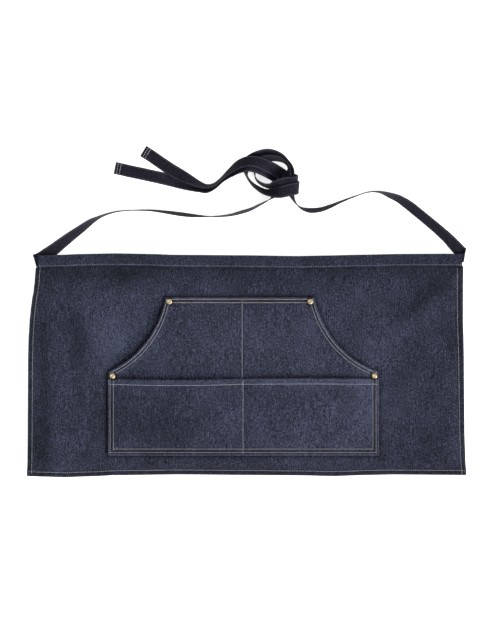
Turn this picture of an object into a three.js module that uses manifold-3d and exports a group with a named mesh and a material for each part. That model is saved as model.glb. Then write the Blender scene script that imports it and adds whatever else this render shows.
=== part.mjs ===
// A denim waist apron that lies flat: a hemmed skirt under a folded waistband, two flat ties that are
// knotted once above it, a hand pocket with curved side mouths, a wide pocket on top, and four rivets.
// Millimetres. +X is the wearer's left to right, +Y runs from the bottom hem to the waistband, +Z is up.
import * as THREE from "three";
import { mergeVertices } from "three/addons/utils/BufferGeometryUtils.js";
import Module from "manifold-3d";

const wasm = await Module();
wasm.setup();

// Cloth
const clothWall = 1.0;
const layerGap = 0.4;
const sewnGap = 0.3;

// Skirt
const skirtWidth = 700;
const skirtHeight = 352;
const hemWidth = 7.5;
const hemStep = 0.8;
const waveRise = 1.5;
const waveReach = 26;
const gridStep = 21;

// Waistband. The ties lift its ends over a length, ease off over a ramp, and lift the skirt below it too.
const bandHeight = 19.4;
const bandRounding = 0.8;
const bandLap = 0.5;
const endInset = 2.4;
const channelGap = clothWall + 2.8 * sewnGap;
const liftLength = 82;
const liftRamp = 41;
const liftDrop = 58;

// Ties
const tieWidth = 19.5;
const tieWall = 1.5;
const tongueWidth = 11;
const tongueWall = 1.0;
const tongueLength = 12;
const tongueClearance = 1.2;
const knotRise = 136;
const knotAcross = 0.119;
const innerTurnRadius = 9.15;
const innerTurnLow = 2.8;
const innerTurnDown = 0.44;
const outerTurnRadius = 11.25;
const outerTurnDown = 0.93;
const turnAcross = 1.61;
const creaseOut = 0.4;
const leftCreaseUp = 1.2;
const rightCreaseUp = 8.1;
const foldTurns = 6;
const stationStep = 8;
const leastSlant = 0.85;
const floorGap = 0.2;

// Pockets
const pocketWidth = 432;
const pocketHeight = 252;
const pocketBottom = 32;
const pocketShift = -4;
const topInsetLeft = 91;
const topInsetRight = 103;
const mouthHeight = 119;
const mouthRadius = 155;
const centreSeam = -5;
const gape = 5.6;
const gapeReach = 30;
const seamPad = 12;

// Rivets
const capRadius = 4.2;
const capHeight = 1.7;
const postRadius = 1.5;
const postClearance = 0.4;
const burrRadius = 3.5;
const burrWall = 0.7;
const rivetGap = 0.3;
const rivetSides = 16;
const rivetInset = 6.5;

// Heights that follow from the cloth: the hem's two turned layers lie under the panel.
const panelBase = clothWall + 1.4 * sewnGap;
const endLift = tieWall + 1.0;
const bandWall = 2 * clothWall + channelGap;

// Skirt outline, from the bottom up: each side's distance from the middle as a share of half the width.
const sideRows = [
  { up: 0, left: 1.0, right: 1.006 },
  { up: 0.07, left: 0.9975, right: 1.0015 },
  { up: 0.2, left: 0.9965, right: 0.9975 },
  { up: 0.52, left: 0.995, right: 0.995 },
  { up: 0.61, left: 0.993, right: 0.9935 },
  { up: 0.7, left: 0.988, right: 0.991 },
  { up: 0.75, left: 0.983, right: 0.991 },
  { up: 0.8, left: 0.9765, right: 0.991 },
  { up: 0.84, left: 0.969, right: 0.991 },
  { up: 0.89, left: 0.9635, right: 0.991 },
  { up: 0.95, left: 0.959, right: 0.992 },
  { up: 1, left: 0.958, right: 0.993 },
];

// Bottom hem, from left to right: its rise above the nominal edge as a share of the skirt's height.
const bottomRows = [
  { along: -1, rise: -0.004 },
  { along: -0.92, rise: -0.0066 },
  { along: -0.83, rise: -0.009 },
  { along: -0.7, rise: -0.005 },
  { along: -0.6, rise: 0 },
  { along: -0.3, rise: 0.0035 },
  { along: 0, rise: 0.001 },
  { along: 0.25, rise: -0.001 },
  { along: 0.4, rise: -0.004 },
  { along: 0.56, rise: 0.001 },
  { along: 0.67, rise: 0.003 },
  { along: 1, rise: 0.001 },
];

// Waistband's upper edge, from left to right.
const topRows = [
  { along: -1, rise: -0.0023 },
  { along: -0.85, rise: 0.0008 },
  { along: -0.76, rise: 0.0045 },
  { along: -0.6, rise: 0.0077 },
  { along: -0.44, rise: 0.005 },
  { along: -0.32, rise: 0.0009 },
  { along: 0, rise: -0.001 },
  { along: 0.23, rise: -0.0045 },
  { along: 0.38, rise: -0.0017 },
  { along: 0.52, rise: 0.0014 },
  { along: 0.7, rise: 0.005 },
  { along: 0.93, rise: 0.006 },
  { along: 1, rise: 0.0045 },
];

// Soft waves of the skirt: a ridge's middle, its reach along and across, its heading in degrees, and its
// rise as a share of the wave rise. Places along are shares of half the width, the rest of the height.
const waveRows = [
  { name: "left_edge", along: -0.87, up: 0.45, reach: 0.42, spread: 0.09, heading: 88, rise: 0.7 },
  { name: "left_crest", along: -0.76, up: 0.66, reach: 0.22, spread: 0.06, heading: 96, rise: 0.45 },
  { name: "left_band", along: -0.72, up: 0.87, reach: 0.4, spread: 0.06, heading: 4, rise: 0.6 },
  { name: "middle_band", along: 0.05, up: 0.885, reach: 0.5, spread: 0.04, heading: 0, rise: 0.3 },
  { name: "right_slant", along: 0.84, up: 0.74, reach: 0.22, spread: 0.055, heading: 46, rise: 1 },
  { name: "right_edge", along: 0.88, up: 0.25, reach: 0.2, spread: 0.08, heading: 84, rise: 0.6 },
  { name: "left_foot", along: -0.8, up: 0.18, reach: 0.18, spread: 0.07, heading: 70, rise: 0.5 },
];

// Left loop of the tie, from the band's end to the knot: along is a share of that distance, up of the
// knot's rise above the band's middle. Lean turns the strap about its own run, 90 is on edge.
const leftLoopRows = [
  { along: 0.101, up: 0.204, lean: 27 },
  { along: 0.143, up: 0.291, lean: 41 },
  { along: 0.186, up: 0.376, lean: 52 },
  { along: 0.228, up: 0.461, lean: 65 },
  { along: 0.258, up: 0.506, lean: 80 },
  { along: 0.292, up: 0.545, lean: 87 },
  { along: 0.338, up: 0.579, lean: 90 },
  { along: 0.398, up: 0.593, lean: 92 },
  { along: 0.483, up: 0.593, lean: 98 },
  { along: 0.567, up: 0.566, lean: 107 },
  { along: 0.61, up: 0.549, lean: 110 },
  { along: 0.652, up: 0.535, lean: 108 },
  { along: 0.695, up: 0.526, lean: 100 },
  { along: 0.75, up: 0.52, lean: 90 },
  { along: 0.822, up: 0.538, lean: 83 },
  { along: 0.864, up: 0.568, lean: 77 },
  { along: 0.907, up: 0.604, lean: 79 },
  { along: 0.949, up: 0.661, lean: 84 },
];

const rightLoopRows = [
  { along: 0.073, up: 0.2635, lean: 30 },
  { along: 0.125, up: 0.368, lean: 36 },
  { along: 0.177, up: 0.465, lean: 40 },
  { along: 0.229, up: 0.561, lean: 40 },
  { along: 0.281, up: 0.653, lean: 42 },
  { along: 0.333, up: 0.728, lean: 55 },
  { along: 0.385, up: 0.774, lean: 68 },
  { along: 0.427, up: 0.805, lean: 84 },
  { along: 0.4635, up: 0.813, lean: 90 },
  { along: 0.5, up: 0.805, lean: 91 },
  { along: 0.542, up: 0.776, lean: 93 },
  { along: 0.594, up: 0.734, lean: 96 },
  { along: 0.646, up: 0.688, lean: 101 },
  { along: 0.698, up: 0.638, lean: 109 },
  { along: 0.75, up: 0.601, lean: 114 },
  { along: 0.802, up: 0.593, lean: 116 },
];

// Folds of the ties: the crease's heading and the strap's before it, in degrees, the side on which it
// stands out, the side of the strap's leaning edge, its width at the start and where it then widens.
const foldRows = [
  { name: "left_crease", axis: 106.4, heading: 180, outward: -1, aimSign: 1, startWidth: 12, widens: 0 },
  { name: "right_crease", axis: 80, heading: 12, outward: 1, aimSign: 1, startWidth: 12, widens: 1 },
  { name: "inner_turn", axis: 85, heading: 9, outward: 1, aimSign: 1, startWidth: tieWidth, widens: 0 },
  { name: "outer_turn", axis: 85, heading: 9, outward: 1, aimSign: -1, startWidth: tieWidth, widens: 0 },
];

// Tongues inside the band, in tie widths.
const leftTongueRows = [
  { inside: 0.6, rise: 0 },
  { inside: 0.3, rise: 0 },
  { inside: 0.02, rise: 0.02 },
];

const rightTongueRows = [
  { inside: 0.6, rise: -0.1 },
  { inside: 0.3, rise: -0.07 },
  { inside: 0.06, rise: 0 },
];

// First stretch of each tie after its fold under the band: offsets from the band's end in tie widths.
const leftStartRows = [
  { out: 0.15, up: 0.2, lean: 0 },
  { out: 0.72, up: 0.56, lean: 3 },
  { out: 1.3, up: 0.94, lean: 12 },
];

const rightStartRows = [
  { out: 0.2, up: 0.88, lean: 0 },
  { out: 0.72, up: 1.41, lean: 18 },
];

// The knot, in tie widths from its middle. Lift is the height of the strap's lowest edge above the floor.
const leftKnotInRows = [
  { x: -0.33, y: -2.02, lean: 90, lift: 0 },
  { x: 0.08, y: -1.75, lean: 102, lift: 0 },
  { x: 0.61, y: -1.39, lean: 122, lift: 0 },
  { x: 0.94, y: -1.01, lean: 138, lift: 0.1 },
  { x: 1.07, y: -0.57, lean: 140, lift: 0.22 },
  { x: 1.2, y: -0.15, lean: 137, lift: 0.23 },
  { x: 1.34, y: 0.25, lean: 118, lift: 0.23 },
  { x: 1.36, y: 0.57, lean: 102, lift: 0.17 },
  { x: 1.28, y: 0.88, lean: 96, lift: 0.06 },
  { x: 1.03, y: 1.16, lean: 102, lift: 0 },
  { x: 0.66, y: 1.35, lean: 112, lift: 0 },
  { x: 0, y: 1.45, lean: 118, lift: 0 },
  { x: -0.66, y: 1.36, lean: 124, lift: 0 },
  { x: -1.11, y: 1.11, lean: 133, lift: 0 },
  { x: -1.37, y: 0.74, lean: 120, lift: 0 },
  { x: -1.43, y: 0.25, lean: 95, lift: 0 },
  { x: -1.3, y: -0.29, lean: 87, lift: 0 },
  { x: -0.96, y: -0.61, lean: 80, lift: 0 },
  { x: -0.49, y: -0.81, lean: 75, lift: 0 },
  { x: 0.04, y: -0.87, lean: 60, lift: 0.06 },
  { x: 0.41, y: -0.82, lean: 38, lift: 0.48 },
  { x: 0.74, y: -0.72, lean: 13, lift: 0.89 },
  { x: 1.19, y: -0.62, lean: 3, lift: 1 },
];

const leftKnotOutRows = [
  { x: 1.19, y: -0.1, lean: 0, lift: 0.11 },
  { x: 0.74, y: 0.16, lean: 0, lift: 0.14 },
  { x: 0.33, y: 0.41, lean: 0, lift: 0.32 },
  { x: -0.08, y: 0.63, lean: -3, lift: 0.56 },
  { x: -0.82, y: 0.96, lean: -8, lift: 0.91 },
  { x: -1.48, y: 1.13, lean: -18, lift: 0.93 },
  { x: -2.13, y: 1.11, lean: -30, lift: 0.83 },
  { x: -2.79, y: 0.86, lean: -45, lift: 0.51 },
  { x: -3.44, y: 0.39, lean: -62, lift: 0.1 },
  { x: -4.1, y: -0.21, lean: -75, lift: 0 },
  { x: -4.75, y: -0.75, lean: -70, lift: 0 },
  { x: -5.41, y: -0.87, lean: -66, lift: 0 },
  { x: -5.98, y: -0.7, lean: -56, lift: 0.03 },
  { x: -6.72, y: -0.35, lean: -35, lift: 0.1 },
  { x: -7.54, y: 0.09, lean: -8, lift: 0.11 },
  { x: -8.36, y: 0.58, lean: 0, lift: 0.1 },
  { x: -9.18, y: 1.13, lean: 0, lift: 0.04 },
  { x: -10, y: 1.7, lean: 0, lift: 0 },
  { x: -10.56, y: 2.05, lean: 0, lift: 0 },
];

const rightKnotInRows = [
  { x: 2.54, y: -2.72, lean: 106, lift: 0 },
  { x: 2.21, y: -2.54, lean: 96, lift: 0 },
  { x: 1.97, y: -2.3, lean: 90, lift: 0 },
  { x: 1.77, y: -1.97, lean: 82, lift: 0 },
  { x: 1.61, y: -1.64, lean: 70, lift: 0.05 },
  { x: 1.39, y: -1.19, lean: 50, lift: 0.16 },
  { x: 1.3, y: -0.7, lean: 40, lift: 0.2 },
  { x: 1.39, y: -0.27, lean: 39, lift: 0.22 },
  { x: 1.53, y: 0.12, lean: 47, lift: 0.23 },
  { x: 1.59, y: 0.49, lean: 68, lift: 0.19 },
  { x: 1.52, y: 0.82, lean: 82, lift: 0.07 },
  { x: 1.25, y: 1.19, lean: 78, lift: 0 },
  { x: 0.76, y: 1.61, lean: 68, lift: 0 },
  { x: 0.16, y: 1.86, lean: 62, lift: 0 },
  { x: -0.49, y: 1.92, lean: 60, lift: 0 },
  { x: -1.15, y: 1.72, lean: 52, lift: 0 },
  { x: -1.7, y: 1.39, lean: 38, lift: 0 },
  { x: -2.02, y: 1.02, lean: 30, lift: 0 },
  { x: -2.16, y: 0.61, lean: 48, lift: 0 },
  { x: -2.15, y: 0.23, lean: 78, lift: 0 },
  { x: -1.98, y: -0.19, lean: 82, lift: 0 },
  { x: -1.64, y: -0.64, lean: 74, lift: 0.01 },
  { x: -1.16, y: -1.02, lean: 66, lift: 0.03 },
  { x: -0.59, y: -1.31, lean: 60, lift: 0.13 },
  { x: 0.04, y: -1.39, lean: 45, lift: 0.44 },
  { x: 0.41, y: -1.39, lean: 25, lift: 0.79 },
  { x: 0.74, y: -1.36, lean: 8, lift: 1.05 },
  { x: 1.19, y: -1.25, lean: 2, lift: 1.13 },
];

const rightKnotOutRows = [
  { x: 1.19, y: -0.51, lean: 0, lift: 0 },
  { x: 0.74, y: -0.28, lean: 0, lift: 0 },
  { x: 0.33, y: -0.05, lean: 0, lift: 0.07 },
  { x: -0.08, y: 0.18, lean: 2, lift: 0.28 },
  { x: -0.82, y: 0.51, lean: 6, lift: 0.7 },
  { x: -1.48, y: 0.72, lean: 13, lift: 0.88 },
  { x: -2.13, y: 0.75, lean: 22, lift: 0.83 },
  { x: -2.79, y: 0.53, lean: 40, lift: 0.46 },
  { x: -3.44, y: 0.12, lean: 58, lift: 0.07 },
  { x: -4.1, y: -0.4, lean: 72, lift: 0 },
  { x: -4.75, y: -0.92, lean: 66, lift: 0 },
  { x: -5.33, y: -1.15, lean: 55, lift: 0 },
  { x: -5.9, y: -1.02, lean: 44, lift: 0 },
  { x: -6.72, y: -0.78, lean: 22, lift: 0 },
  { x: -7.54, y: -0.56, lean: 5, lift: 0 },
  { x: -8.36, y: -0.34, lean: 0, lift: 0 },
  { x: -9.18, y: -0.15, lean: 0, lift: 0 },
  { x: -10, y: 0.03, lean: 0, lift: 0 },
  { x: -10.82, y: 0.21, lean: 0, lift: 0 },
  { x: -11.64, y: 0.38, lean: 0, lift: 0 },
  { x: -12.46, y: 0.57, lean: 0, lift: 0 },
  { x: -12.89, y: 0.66, lean: 0, lift: 0 },
];

// Small helpers
const clamp01 = (t) => Math.min(1, Math.max(0, t));
const smooth = (t) => clamp01(t) ** 2 * (3 - 2 * clamp01(t));
const lerp = (a, b, t) => a + (b - a) * t;
const radians = THREE.MathUtils.degToRad;

// Value of one column of a table at a place between two of its rows.
function between(rows, key, column, place) {
  if (place <= rows[0][key]) return rows[0][column];
  for (let i = 1; i < rows.length; i++) {
    if (place > rows[i][key]) continue;
    const share = (place - rows[i - 1][key]) / (rows[i][key] - rows[i - 1][key]);
    return lerp(rows[i - 1][column], rows[i][column], smooth(share) * 0.5 + share * 0.5);
  }
  return rows[rows.length - 1][column];
}

// Skirt outline and heights
const halfWidth = skirtWidth / 2;
const leftEdge = (y) => -halfWidth * between(sideRows, "up", "left", y / skirtHeight);
const rightEdge = (y) => halfWidth * between(sideRows, "up", "right", y / skirtHeight);
const bottomEdge = (x) => skirtHeight * between(bottomRows, "along", "rise", x / halfWidth);
const bandTop = (x) => skirtHeight * (1 + between(topRows, "along", "rise", x / halfWidth));
const bandBottom = (x) => bandTop(x) - bandHeight;
const bandLeftEdge = leftEdge(skirtHeight);
const bandRightEdge = rightEdge(skirtHeight);
const bandLeftEnd = bandLeftEdge + endInset;
const bandRightEnd = bandRightEdge - endInset;
const endMiddle = (x) => bandTop(x) - bandHeight / 2;

// The band's ends are lifted by the ties that fold back under them.
function liftAt(x, y) {
  const fromEnd = Math.min(x - bandLeftEnd, bandRightEnd - x);
  const along = smooth((liftLength - fromEnd) / liftRamp);
  const down = smooth(1 - (bandBottom(x) - y) / liftDrop);
  return endLift * along * down;
}

function waveAt(x, y) {
  const inside = Math.min(x - leftEdge(y), rightEdge(y) - x, y - bottomEdge(x), bandBottom(x) - y);
  let rise = 0;
  for (const row of waveRows) {
    const dx = x - row.along * halfWidth;
    const dy = y - row.up * skirtHeight;
    const turn = radians(row.heading);
    const along = (dx * Math.cos(turn) + dy * Math.sin(turn)) / (row.reach * skirtHeight);
    const across = (dy * Math.cos(turn) - dx * Math.sin(turn)) / (row.spread * skirtHeight);
    rise += row.rise * Math.exp(-(along * along + across * across) / 2);
  }
  return waveRise * rise * smooth((inside - hemWidth) / waveReach);
}

const panelUnder = (x, y) => panelBase + waveAt(x, y) + liftAt(x, y);
const panelTop = (x, y) => panelUnder(x, y) + clothWall;

// Pocket outline
const pocketLeft = pocketShift - pocketWidth / 2;
const pocketRight = pocketShift + pocketWidth / 2;
const pocketTop = pocketBottom + pocketHeight;
const mouthBottom = pocketTop - mouthHeight;
const lowerTop = mouthBottom - rivetInset - capRadius - rivetGap;
const pocketTopLeft = pocketLeft + topInsetLeft;
const pocketTopRight = pocketRight - topInsetRight;

// Centre of the arc of a curved mouth, from its lower end on the side to its upper end on the top edge.
function mouthCentre(xLow, xHigh) {
  const dx = xHigh - xLow;
  const chord = Math.hypot(dx, mouthHeight);
  const away = Math.sqrt(mouthRadius ** 2 - (chord / 2) ** 2);
  const side = Math.sign(dx);
  return {
    x: (xLow + xHigh) / 2 - (side * away * mouthHeight) / chord,
    y: (mouthBottom + pocketTop) / 2 + (side * away * dx) / chord,
  };
}

const leftMouth = mouthCentre(pocketLeft, pocketTopLeft);
const rightMouth = mouthCentre(pocketRight, pocketTopRight);

function mouthEdge(centre, side, y) {
  return centre.x + side * Math.sqrt(Math.max(0, mouthRadius ** 2 - (y - centre.y) ** 2));
}

const pocketLeftEdge = (y) => (y < mouthBottom ? pocketLeft : mouthEdge(leftMouth, 1, y));
const pocketRightEdge = (y) => (y < mouthBottom ? pocketRight : mouthEdge(rightMouth, -1, y));

const rivetPlaces = [
  { name: "rivet_top_left", x: pocketTopLeft + rivetInset, y: pocketTop - rivetInset },
  { name: "rivet_top_right", x: pocketTopRight - rivetInset, y: pocketTop - rivetInset },
  { name: "rivet_side_left", x: pocketLeft + rivetInset, y: mouthBottom - rivetInset },
  { name: "rivet_side_right", x: pocketRight - rivetInset, y: mouthBottom - rivetInset },
];

// How far a pouch stands open at a distance from a seam: shut on the seam and full past the reach.
const puff = (distance) => Math.sin((Math.PI / 2) * clamp01((distance - seamPad) / gapeReach));

// Distance to a side seam, which ends at the given height.
const toSide = (x, y, side, end) => Math.hypot(x - side, Math.max(0, y - end));

function upperGap(x, y) {
  const nearRivet = Math.min(...rivetPlaces.map((rivet) => Math.hypot(x - rivet.x, y - rivet.y)));
  const open =
    puff(pocketTop - y) *
    puff(y - pocketBottom) *
    puff(Math.abs(x - centreSeam)) *
    puff(toSide(x, y, pocketLeft, mouthBottom)) *
    puff(toSide(x, y, pocketRight, mouthBottom)) *
    puff(nearRivet);
  return layerGap + gape * open;
}

function lowerGap(x, y) {
  const open =
    puff(y - pocketBottom) *
    puff(Math.abs(x - centreSeam)) *
    puff(x - pocketLeft) *
    puff(pocketRight - x);
  return layerGap + gape * open;
}

const upperUnder = (x, y) => panelTop(x, y) + upperGap(x, y);
const upperTop = (x, y) => upperUnder(x, y) + clothWall;
const lowerUnder = (x, y) => upperTop(x, y) + lowerGap(x, y);

// A closed slab over a grid of plan points: columns by rows of points, a rule for the cells that are
// kept, and the heights of its underside and upper side.
function slab(points, keepCell, under, upper) {
  const rows = points.length;
  const columns = points[0].length;
  const kept = (r, c) => r >= 0 && c >= 0 && r < rows - 1 && c < columns - 1 && keepCell(r, c);
  const positions = [];
  for (const row of points) {
    for (const p of row) positions.push(p.x, p.y, under(p.x, p.y), p.x, p.y, upper(p.x, p.y));
  }
  const index = [];
  const low = (r, c) => 2 * (r * columns + c);
  const wall = (a, b) => index.push(a, b, b + 1, a, b + 1, a + 1);
  for (let r = 0; r < rows - 1; r++) {
    for (let c = 0; c < columns - 1; c++) {
      if (!kept(r, c)) continue;
      const [a, b, d, e] = [low(r, c), low(r, c + 1), low(r + 1, c + 1), low(r + 1, c)];
      index.push(a + 1, b + 1, d + 1, a + 1, d + 1, e + 1);
      index.push(a, d, b, a, e, d);
      if (!kept(r - 1, c)) wall(a, b);
      if (!kept(r, c + 1)) wall(b, d);
      if (!kept(r + 1, c)) wall(d, e);
      if (!kept(r, c - 1)) wall(e, a);
    }
  }
  return trimmed(positions, index);
}

// Geometry from positions and triangles, without the points that no triangle uses.
function trimmed(positions, index) {
  const place = new Map();
  const used = [];
  const triangles = index.map((i) => {
    if (!place.has(i)) {
      place.set(i, used.length / 3);
      used.push(positions[3 * i], positions[3 * i + 1], positions[3 * i + 2]);
    }
    return place.get(i);
  });
  const geometry = new THREE.BufferGeometry();
  geometry.setAttribute("position", new THREE.Float32BufferAttribute(used, 3));
  geometry.setIndex(triangles);
  return geometry;
}

// Evenly spaced values from low to high, no further apart than the step.
function spaced(low, high, step) {
  const count = Math.max(1, Math.ceil((high - low) / step));
  return Array.from({ length: count + 1 }, (_, i) => lerp(low, high, i / count));
}

// Manifold solid of a closed geometry, and the geometry of a solid.
function solidOf(geometry) {
  const bare = geometry.clone();
  bare.deleteAttribute("normal");
  bare.deleteAttribute("uv");
  const merged = mergeVertices(bare, 1e-4);
  return new wasm.Manifold(
    new wasm.Mesh({
      numProp: 3,
      vertProperties: merged.attributes.position.array,
      triVerts: new Uint32Array(merged.index.array),
    }),
  );
}

function geometryOf(solid) {
  const mesh = solid.getMesh();
  const geometry = new THREE.BufferGeometry();
  geometry.setAttribute("position", new THREE.BufferAttribute(mesh.vertProperties, 3));
  geometry.setIndex(new THREE.BufferAttribute(mesh.triVerts, 1));
  return geometry;
}

// Round hole for a rivet's post, through all the cloth.
function postHole(rivet) {
  const drill = new THREE.CylinderGeometry(
    postRadius + postClearance,
    postRadius + postClearance,
    40,
    rivetSides,
  );
  drill.rotateX(Math.PI / 2);
  drill.translate(rivet.x, rivet.y, 0);
  return solidOf(drill);
}

function drilled(geometry) {
  const holes = rivetPlaces.map(postHole);
  return geometryOf(holes.reduce((solid, hole) => solid.subtract(hole), solidOf(geometry)));
}

// Columns of the skirt's grid as shares of its half width, which the band's sections follow.
const notchLength = tongueLength + endInset + tongueClearance;
const hemShares = [0, hemWidth, hemWidth + hemStep, notchLength].map((length) => 1 - length / halfWidth);
const openShare = 1 - (notchLength + gridStep / 2) / halfWidth;
const columnShares = [
  ...hemShares.map((share) => -share),
  ...spaced(-openShare, openShare, gridStep / halfWidth),
  ...hemShares.reverse(),
];

// Skirt: a thick rim where the hem is turned under, a single layer inside it, and a notch at each upper
// corner, inside the band, for the tie's tongue.
function skirtGeometry() {
  const notchFoot = skirtHeight - bandHeight + bandLap;
  const across = columnShares;
  const lowShare = hemWidth / skirtHeight;
  const highShare = (skirtHeight - bandHeight - hemStep - bandLap) / skirtHeight;
  const up = [
    0,
    lowShare,
    (hemWidth + hemStep) / skirtHeight,
    ...spaced((hemWidth + gridStep) / skirtHeight, highShare - 0.03, gridStep / skirtHeight),
    highShare,
    highShare + hemStep / skirtHeight,
    notchFoot / skirtHeight,
    1 - bandHeight / 2 / skirtHeight,
    1 - (clothWall + tongueClearance) / skirtHeight,
  ];
  const points = up.map((v) =>
    across.map((u) => {
      const nominal = v * skirtHeight;
      const x = u < 0 ? -u * leftEdge(nominal) : u * rightEdge(nominal);
      return { x, y: lerp(bottomEdge(x), bandTop(x), v) };
    }),
  );
  const last = across.length - 1;
  const isNotch = (r, c) => r >= up.length - 3 && (c < 3 || c >= last - 3);
  const hemTop = (x) => bandBottom(x) - bandLap - hemStep / 2;
  const under = (x, y) => {
    const edge = Math.min(x - leftEdge(y), rightEdge(y) - x, y - bottomEdge(x));
    const turned = edge < hemWidth + hemStep / 2 && y < hemTop(x);
    return turned ? liftAt(x, y) : panelUnder(x, y);
  };
  return drilled(slab(points, (r, c) => !isNotch(r, c), under, panelTop));
}

// Waistband: a strip folded over the skirt's top edge, open downwards, drawn from end to end.
function bandGeometry() {
  const wall = clothWall;
  const profile = [
    { y: -bandHeight, z: 0 },
    { y: -bandRounding, z: 0 },
    { y: 0, z: bandRounding },
    { y: 0, z: bandWall - bandRounding },
    { y: -bandRounding, z: bandWall },
    { y: -bandHeight, z: bandWall },
    { y: -bandHeight, z: bandWall - wall },
    { y: -wall, z: bandWall - wall },
    { y: -wall, z: wall },
    { y: -bandHeight, z: wall },
  ];
  const inside = columnShares
    .map((share) => (share < 0 ? -share * bandLeftEdge : share * bandRightEdge))
    .filter((x) => x > bandLeftEnd + 1 && x < bandRightEnd - 1);
  const sections = [bandLeftEnd, ...inside, bandRightEnd].map((x) =>
    profile.map((p) => {
      const y = bandTop(x) + p.y;
      return new THREE.Vector3(x, y, p.z + liftAt(x, bandBottom(x)));
    }),
  );
  return lofted(sections, [
    [0, 1, 9],
    [1, 8, 9],
    [1, 2, 8],
    [2, 3, 8],
    [3, 7, 8],
    [3, 4, 7],
    [4, 6, 7],
    [4, 5, 6],
  ]);
}

// Closed solid through sections of the same number of points, each anticlockwise seen from the last
// one. The cap gives the triangles of the last section, and the first gets them turned round.
function lofted(sections, cap) {
  const n = sections[0].length;
  const positions = sections.flat().flatMap((p) => [p.x, p.y, p.z]);
  const index = [];
  for (let s = 0; s < sections.length - 1; s++) {
    for (let k = 0; k < n; k++) {
      const a = s * n + k;
      const b = s * n + ((k + 1) % n);
      index.push(a, b, a + n, b, b + n, a + n);
    }
  }
  const last = (sections.length - 1) * n;
  for (const [a, b, c] of cap) {
    index.push(a, c, b);
    index.push(last + a, last + b, last + c);
  }
  const geometry = new THREE.BufferGeometry();
  geometry.setAttribute("position", new THREE.Float32BufferAttribute(positions, 3));
  geometry.setIndex(index);
  return geometry;
}

// Grid that both pockets share: levels up to the lower pocket's mouth, and columns as shares of the width.
const pocketLevels = [pocketBottom, ...spaced(pocketBottom + seamPad, lowerTop, gridStep * 0.8)];
const seamShare = seamPad / pocketWidth;
const centreShare = (centreSeam - pocketLeft) / pocketWidth;
const pocketShares = [
  0,
  ...spaced(seamShare, centreShare - seamShare, gridStep / pocketWidth),
  ...spaced(centreShare + seamShare, 1 - seamShare, gridStep / pocketWidth),
  1,
];

// Hand pocket: its grid follows the curved mouths.
function upperPocketGeometry() {
  const up = [...pocketLevels, ...spaced(mouthBottom, pocketTop - seamPad, gridStep * 0.6), pocketTop];
  const points = up.map((y) =>
    pocketShares.map((s) => ({ x: lerp(pocketLeftEdge(y), pocketRightEdge(y), s), y })),
  );
  return drilled(slab(points, () => true, upperUnder, upperTop));
}

function lowerPocketGeometry() {
  const points = pocketLevels.map((y) =>
    pocketShares.map((s) => ({ x: lerp(pocketLeft, pocketRight, s), y })),
  );
  return slab(points, () => true, lowerUnder, (x, y) => lowerUnder(x, y) + clothWall);
}

// Rivet: a domed cap on the pocket, a post through the cloth, and a flat burr under the skirt.
function rivetGeometry(rivet) {
  const clothTop = upperTop(rivet.x, rivet.y) + rivetGap;
  const clothUnder = panelUnder(rivet.x, rivet.y) - rivetGap;
  const outline = [
    [0, clothUnder - burrWall],
    [burrRadius, clothUnder - burrWall],
    [burrRadius, clothUnder],
    [postRadius, clothUnder],
    [postRadius, clothTop],
    [capRadius, clothTop],
    [capRadius * 0.97, clothTop + capHeight * 0.45],
    [capRadius * 0.75, clothTop + capHeight * 0.85],
    [capRadius * 0.4, clothTop + capHeight],
    [0, clothTop + capHeight],
  ];
  const lathe = new THREE.LatheGeometry(
    outline.map(([r, z]) => new THREE.Vector2(r, z)),
    rivetSides,
  );
  lathe.rotateX(Math.PI / 2);
  lathe.translate(rivet.x, rivet.y, 0);
  return geometryOf(solidOf(lathe));
}

// Height of the middle of a leaning strap whose lowest edge is at zero.
function restHeight(lean) {
  const turn = radians(lean);
  const rise = (tieWidth / 2) * Math.abs(Math.sin(turn)) + (tieWall / 2) * Math.abs(Math.cos(turn));
  return rise + floorGap;
}

// A stretch of strap between folds. Side is 1 when the leaning edge is on the left of the run.
function stretch(rows, side) {
  return rows.map((row) => ({
    place: new THREE.Vector3(row.x, row.y, restHeight(row.lean) + row.lift),
    lean: radians(row.lean),
    side,
  }));
}

// Half a turn of the strap round a crease: it comes in above with one heading and leaves below.
function fold(crease) {
  const along = radians(crease.axis);
  const axis = new THREE.Vector3(Math.cos(along), Math.sin(along), 0);
  const outward = new THREE.Vector3(axis.y, -axis.x, 0).multiplyScalar(crease.outward);
  const angle = radians(crease.axis - crease.heading);
  const shift = (Math.PI * crease.radius * Math.cos(angle)) / Math.abs(Math.sin(angle));
  const middle = new THREE.Vector3(crease.x, crease.y, crease.low + crease.radius);
  return Array.from({ length: foldTurns + 1 }, (_, i) => {
    const phase = (Math.PI * i) / foldTurns;
    const place = middle
      .clone()
      .addScaledVector(outward, crease.radius * Math.sin(phase))
      .addScaledVector(axis, shift * (i / foldTurns - 0.5));
    place.z += crease.radius * Math.cos(phase);
    const width = lerp(crease.startWidth, tieWidth, clamp01((2 * i) / foldTurns));
    place.addScaledVector(axis, (crease.widens * (width - tieWidth)) / 2);
    return { place, aim: axis.clone().multiplyScalar(crease.aimSign), width, skew: 1 };
  });
}

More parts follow.
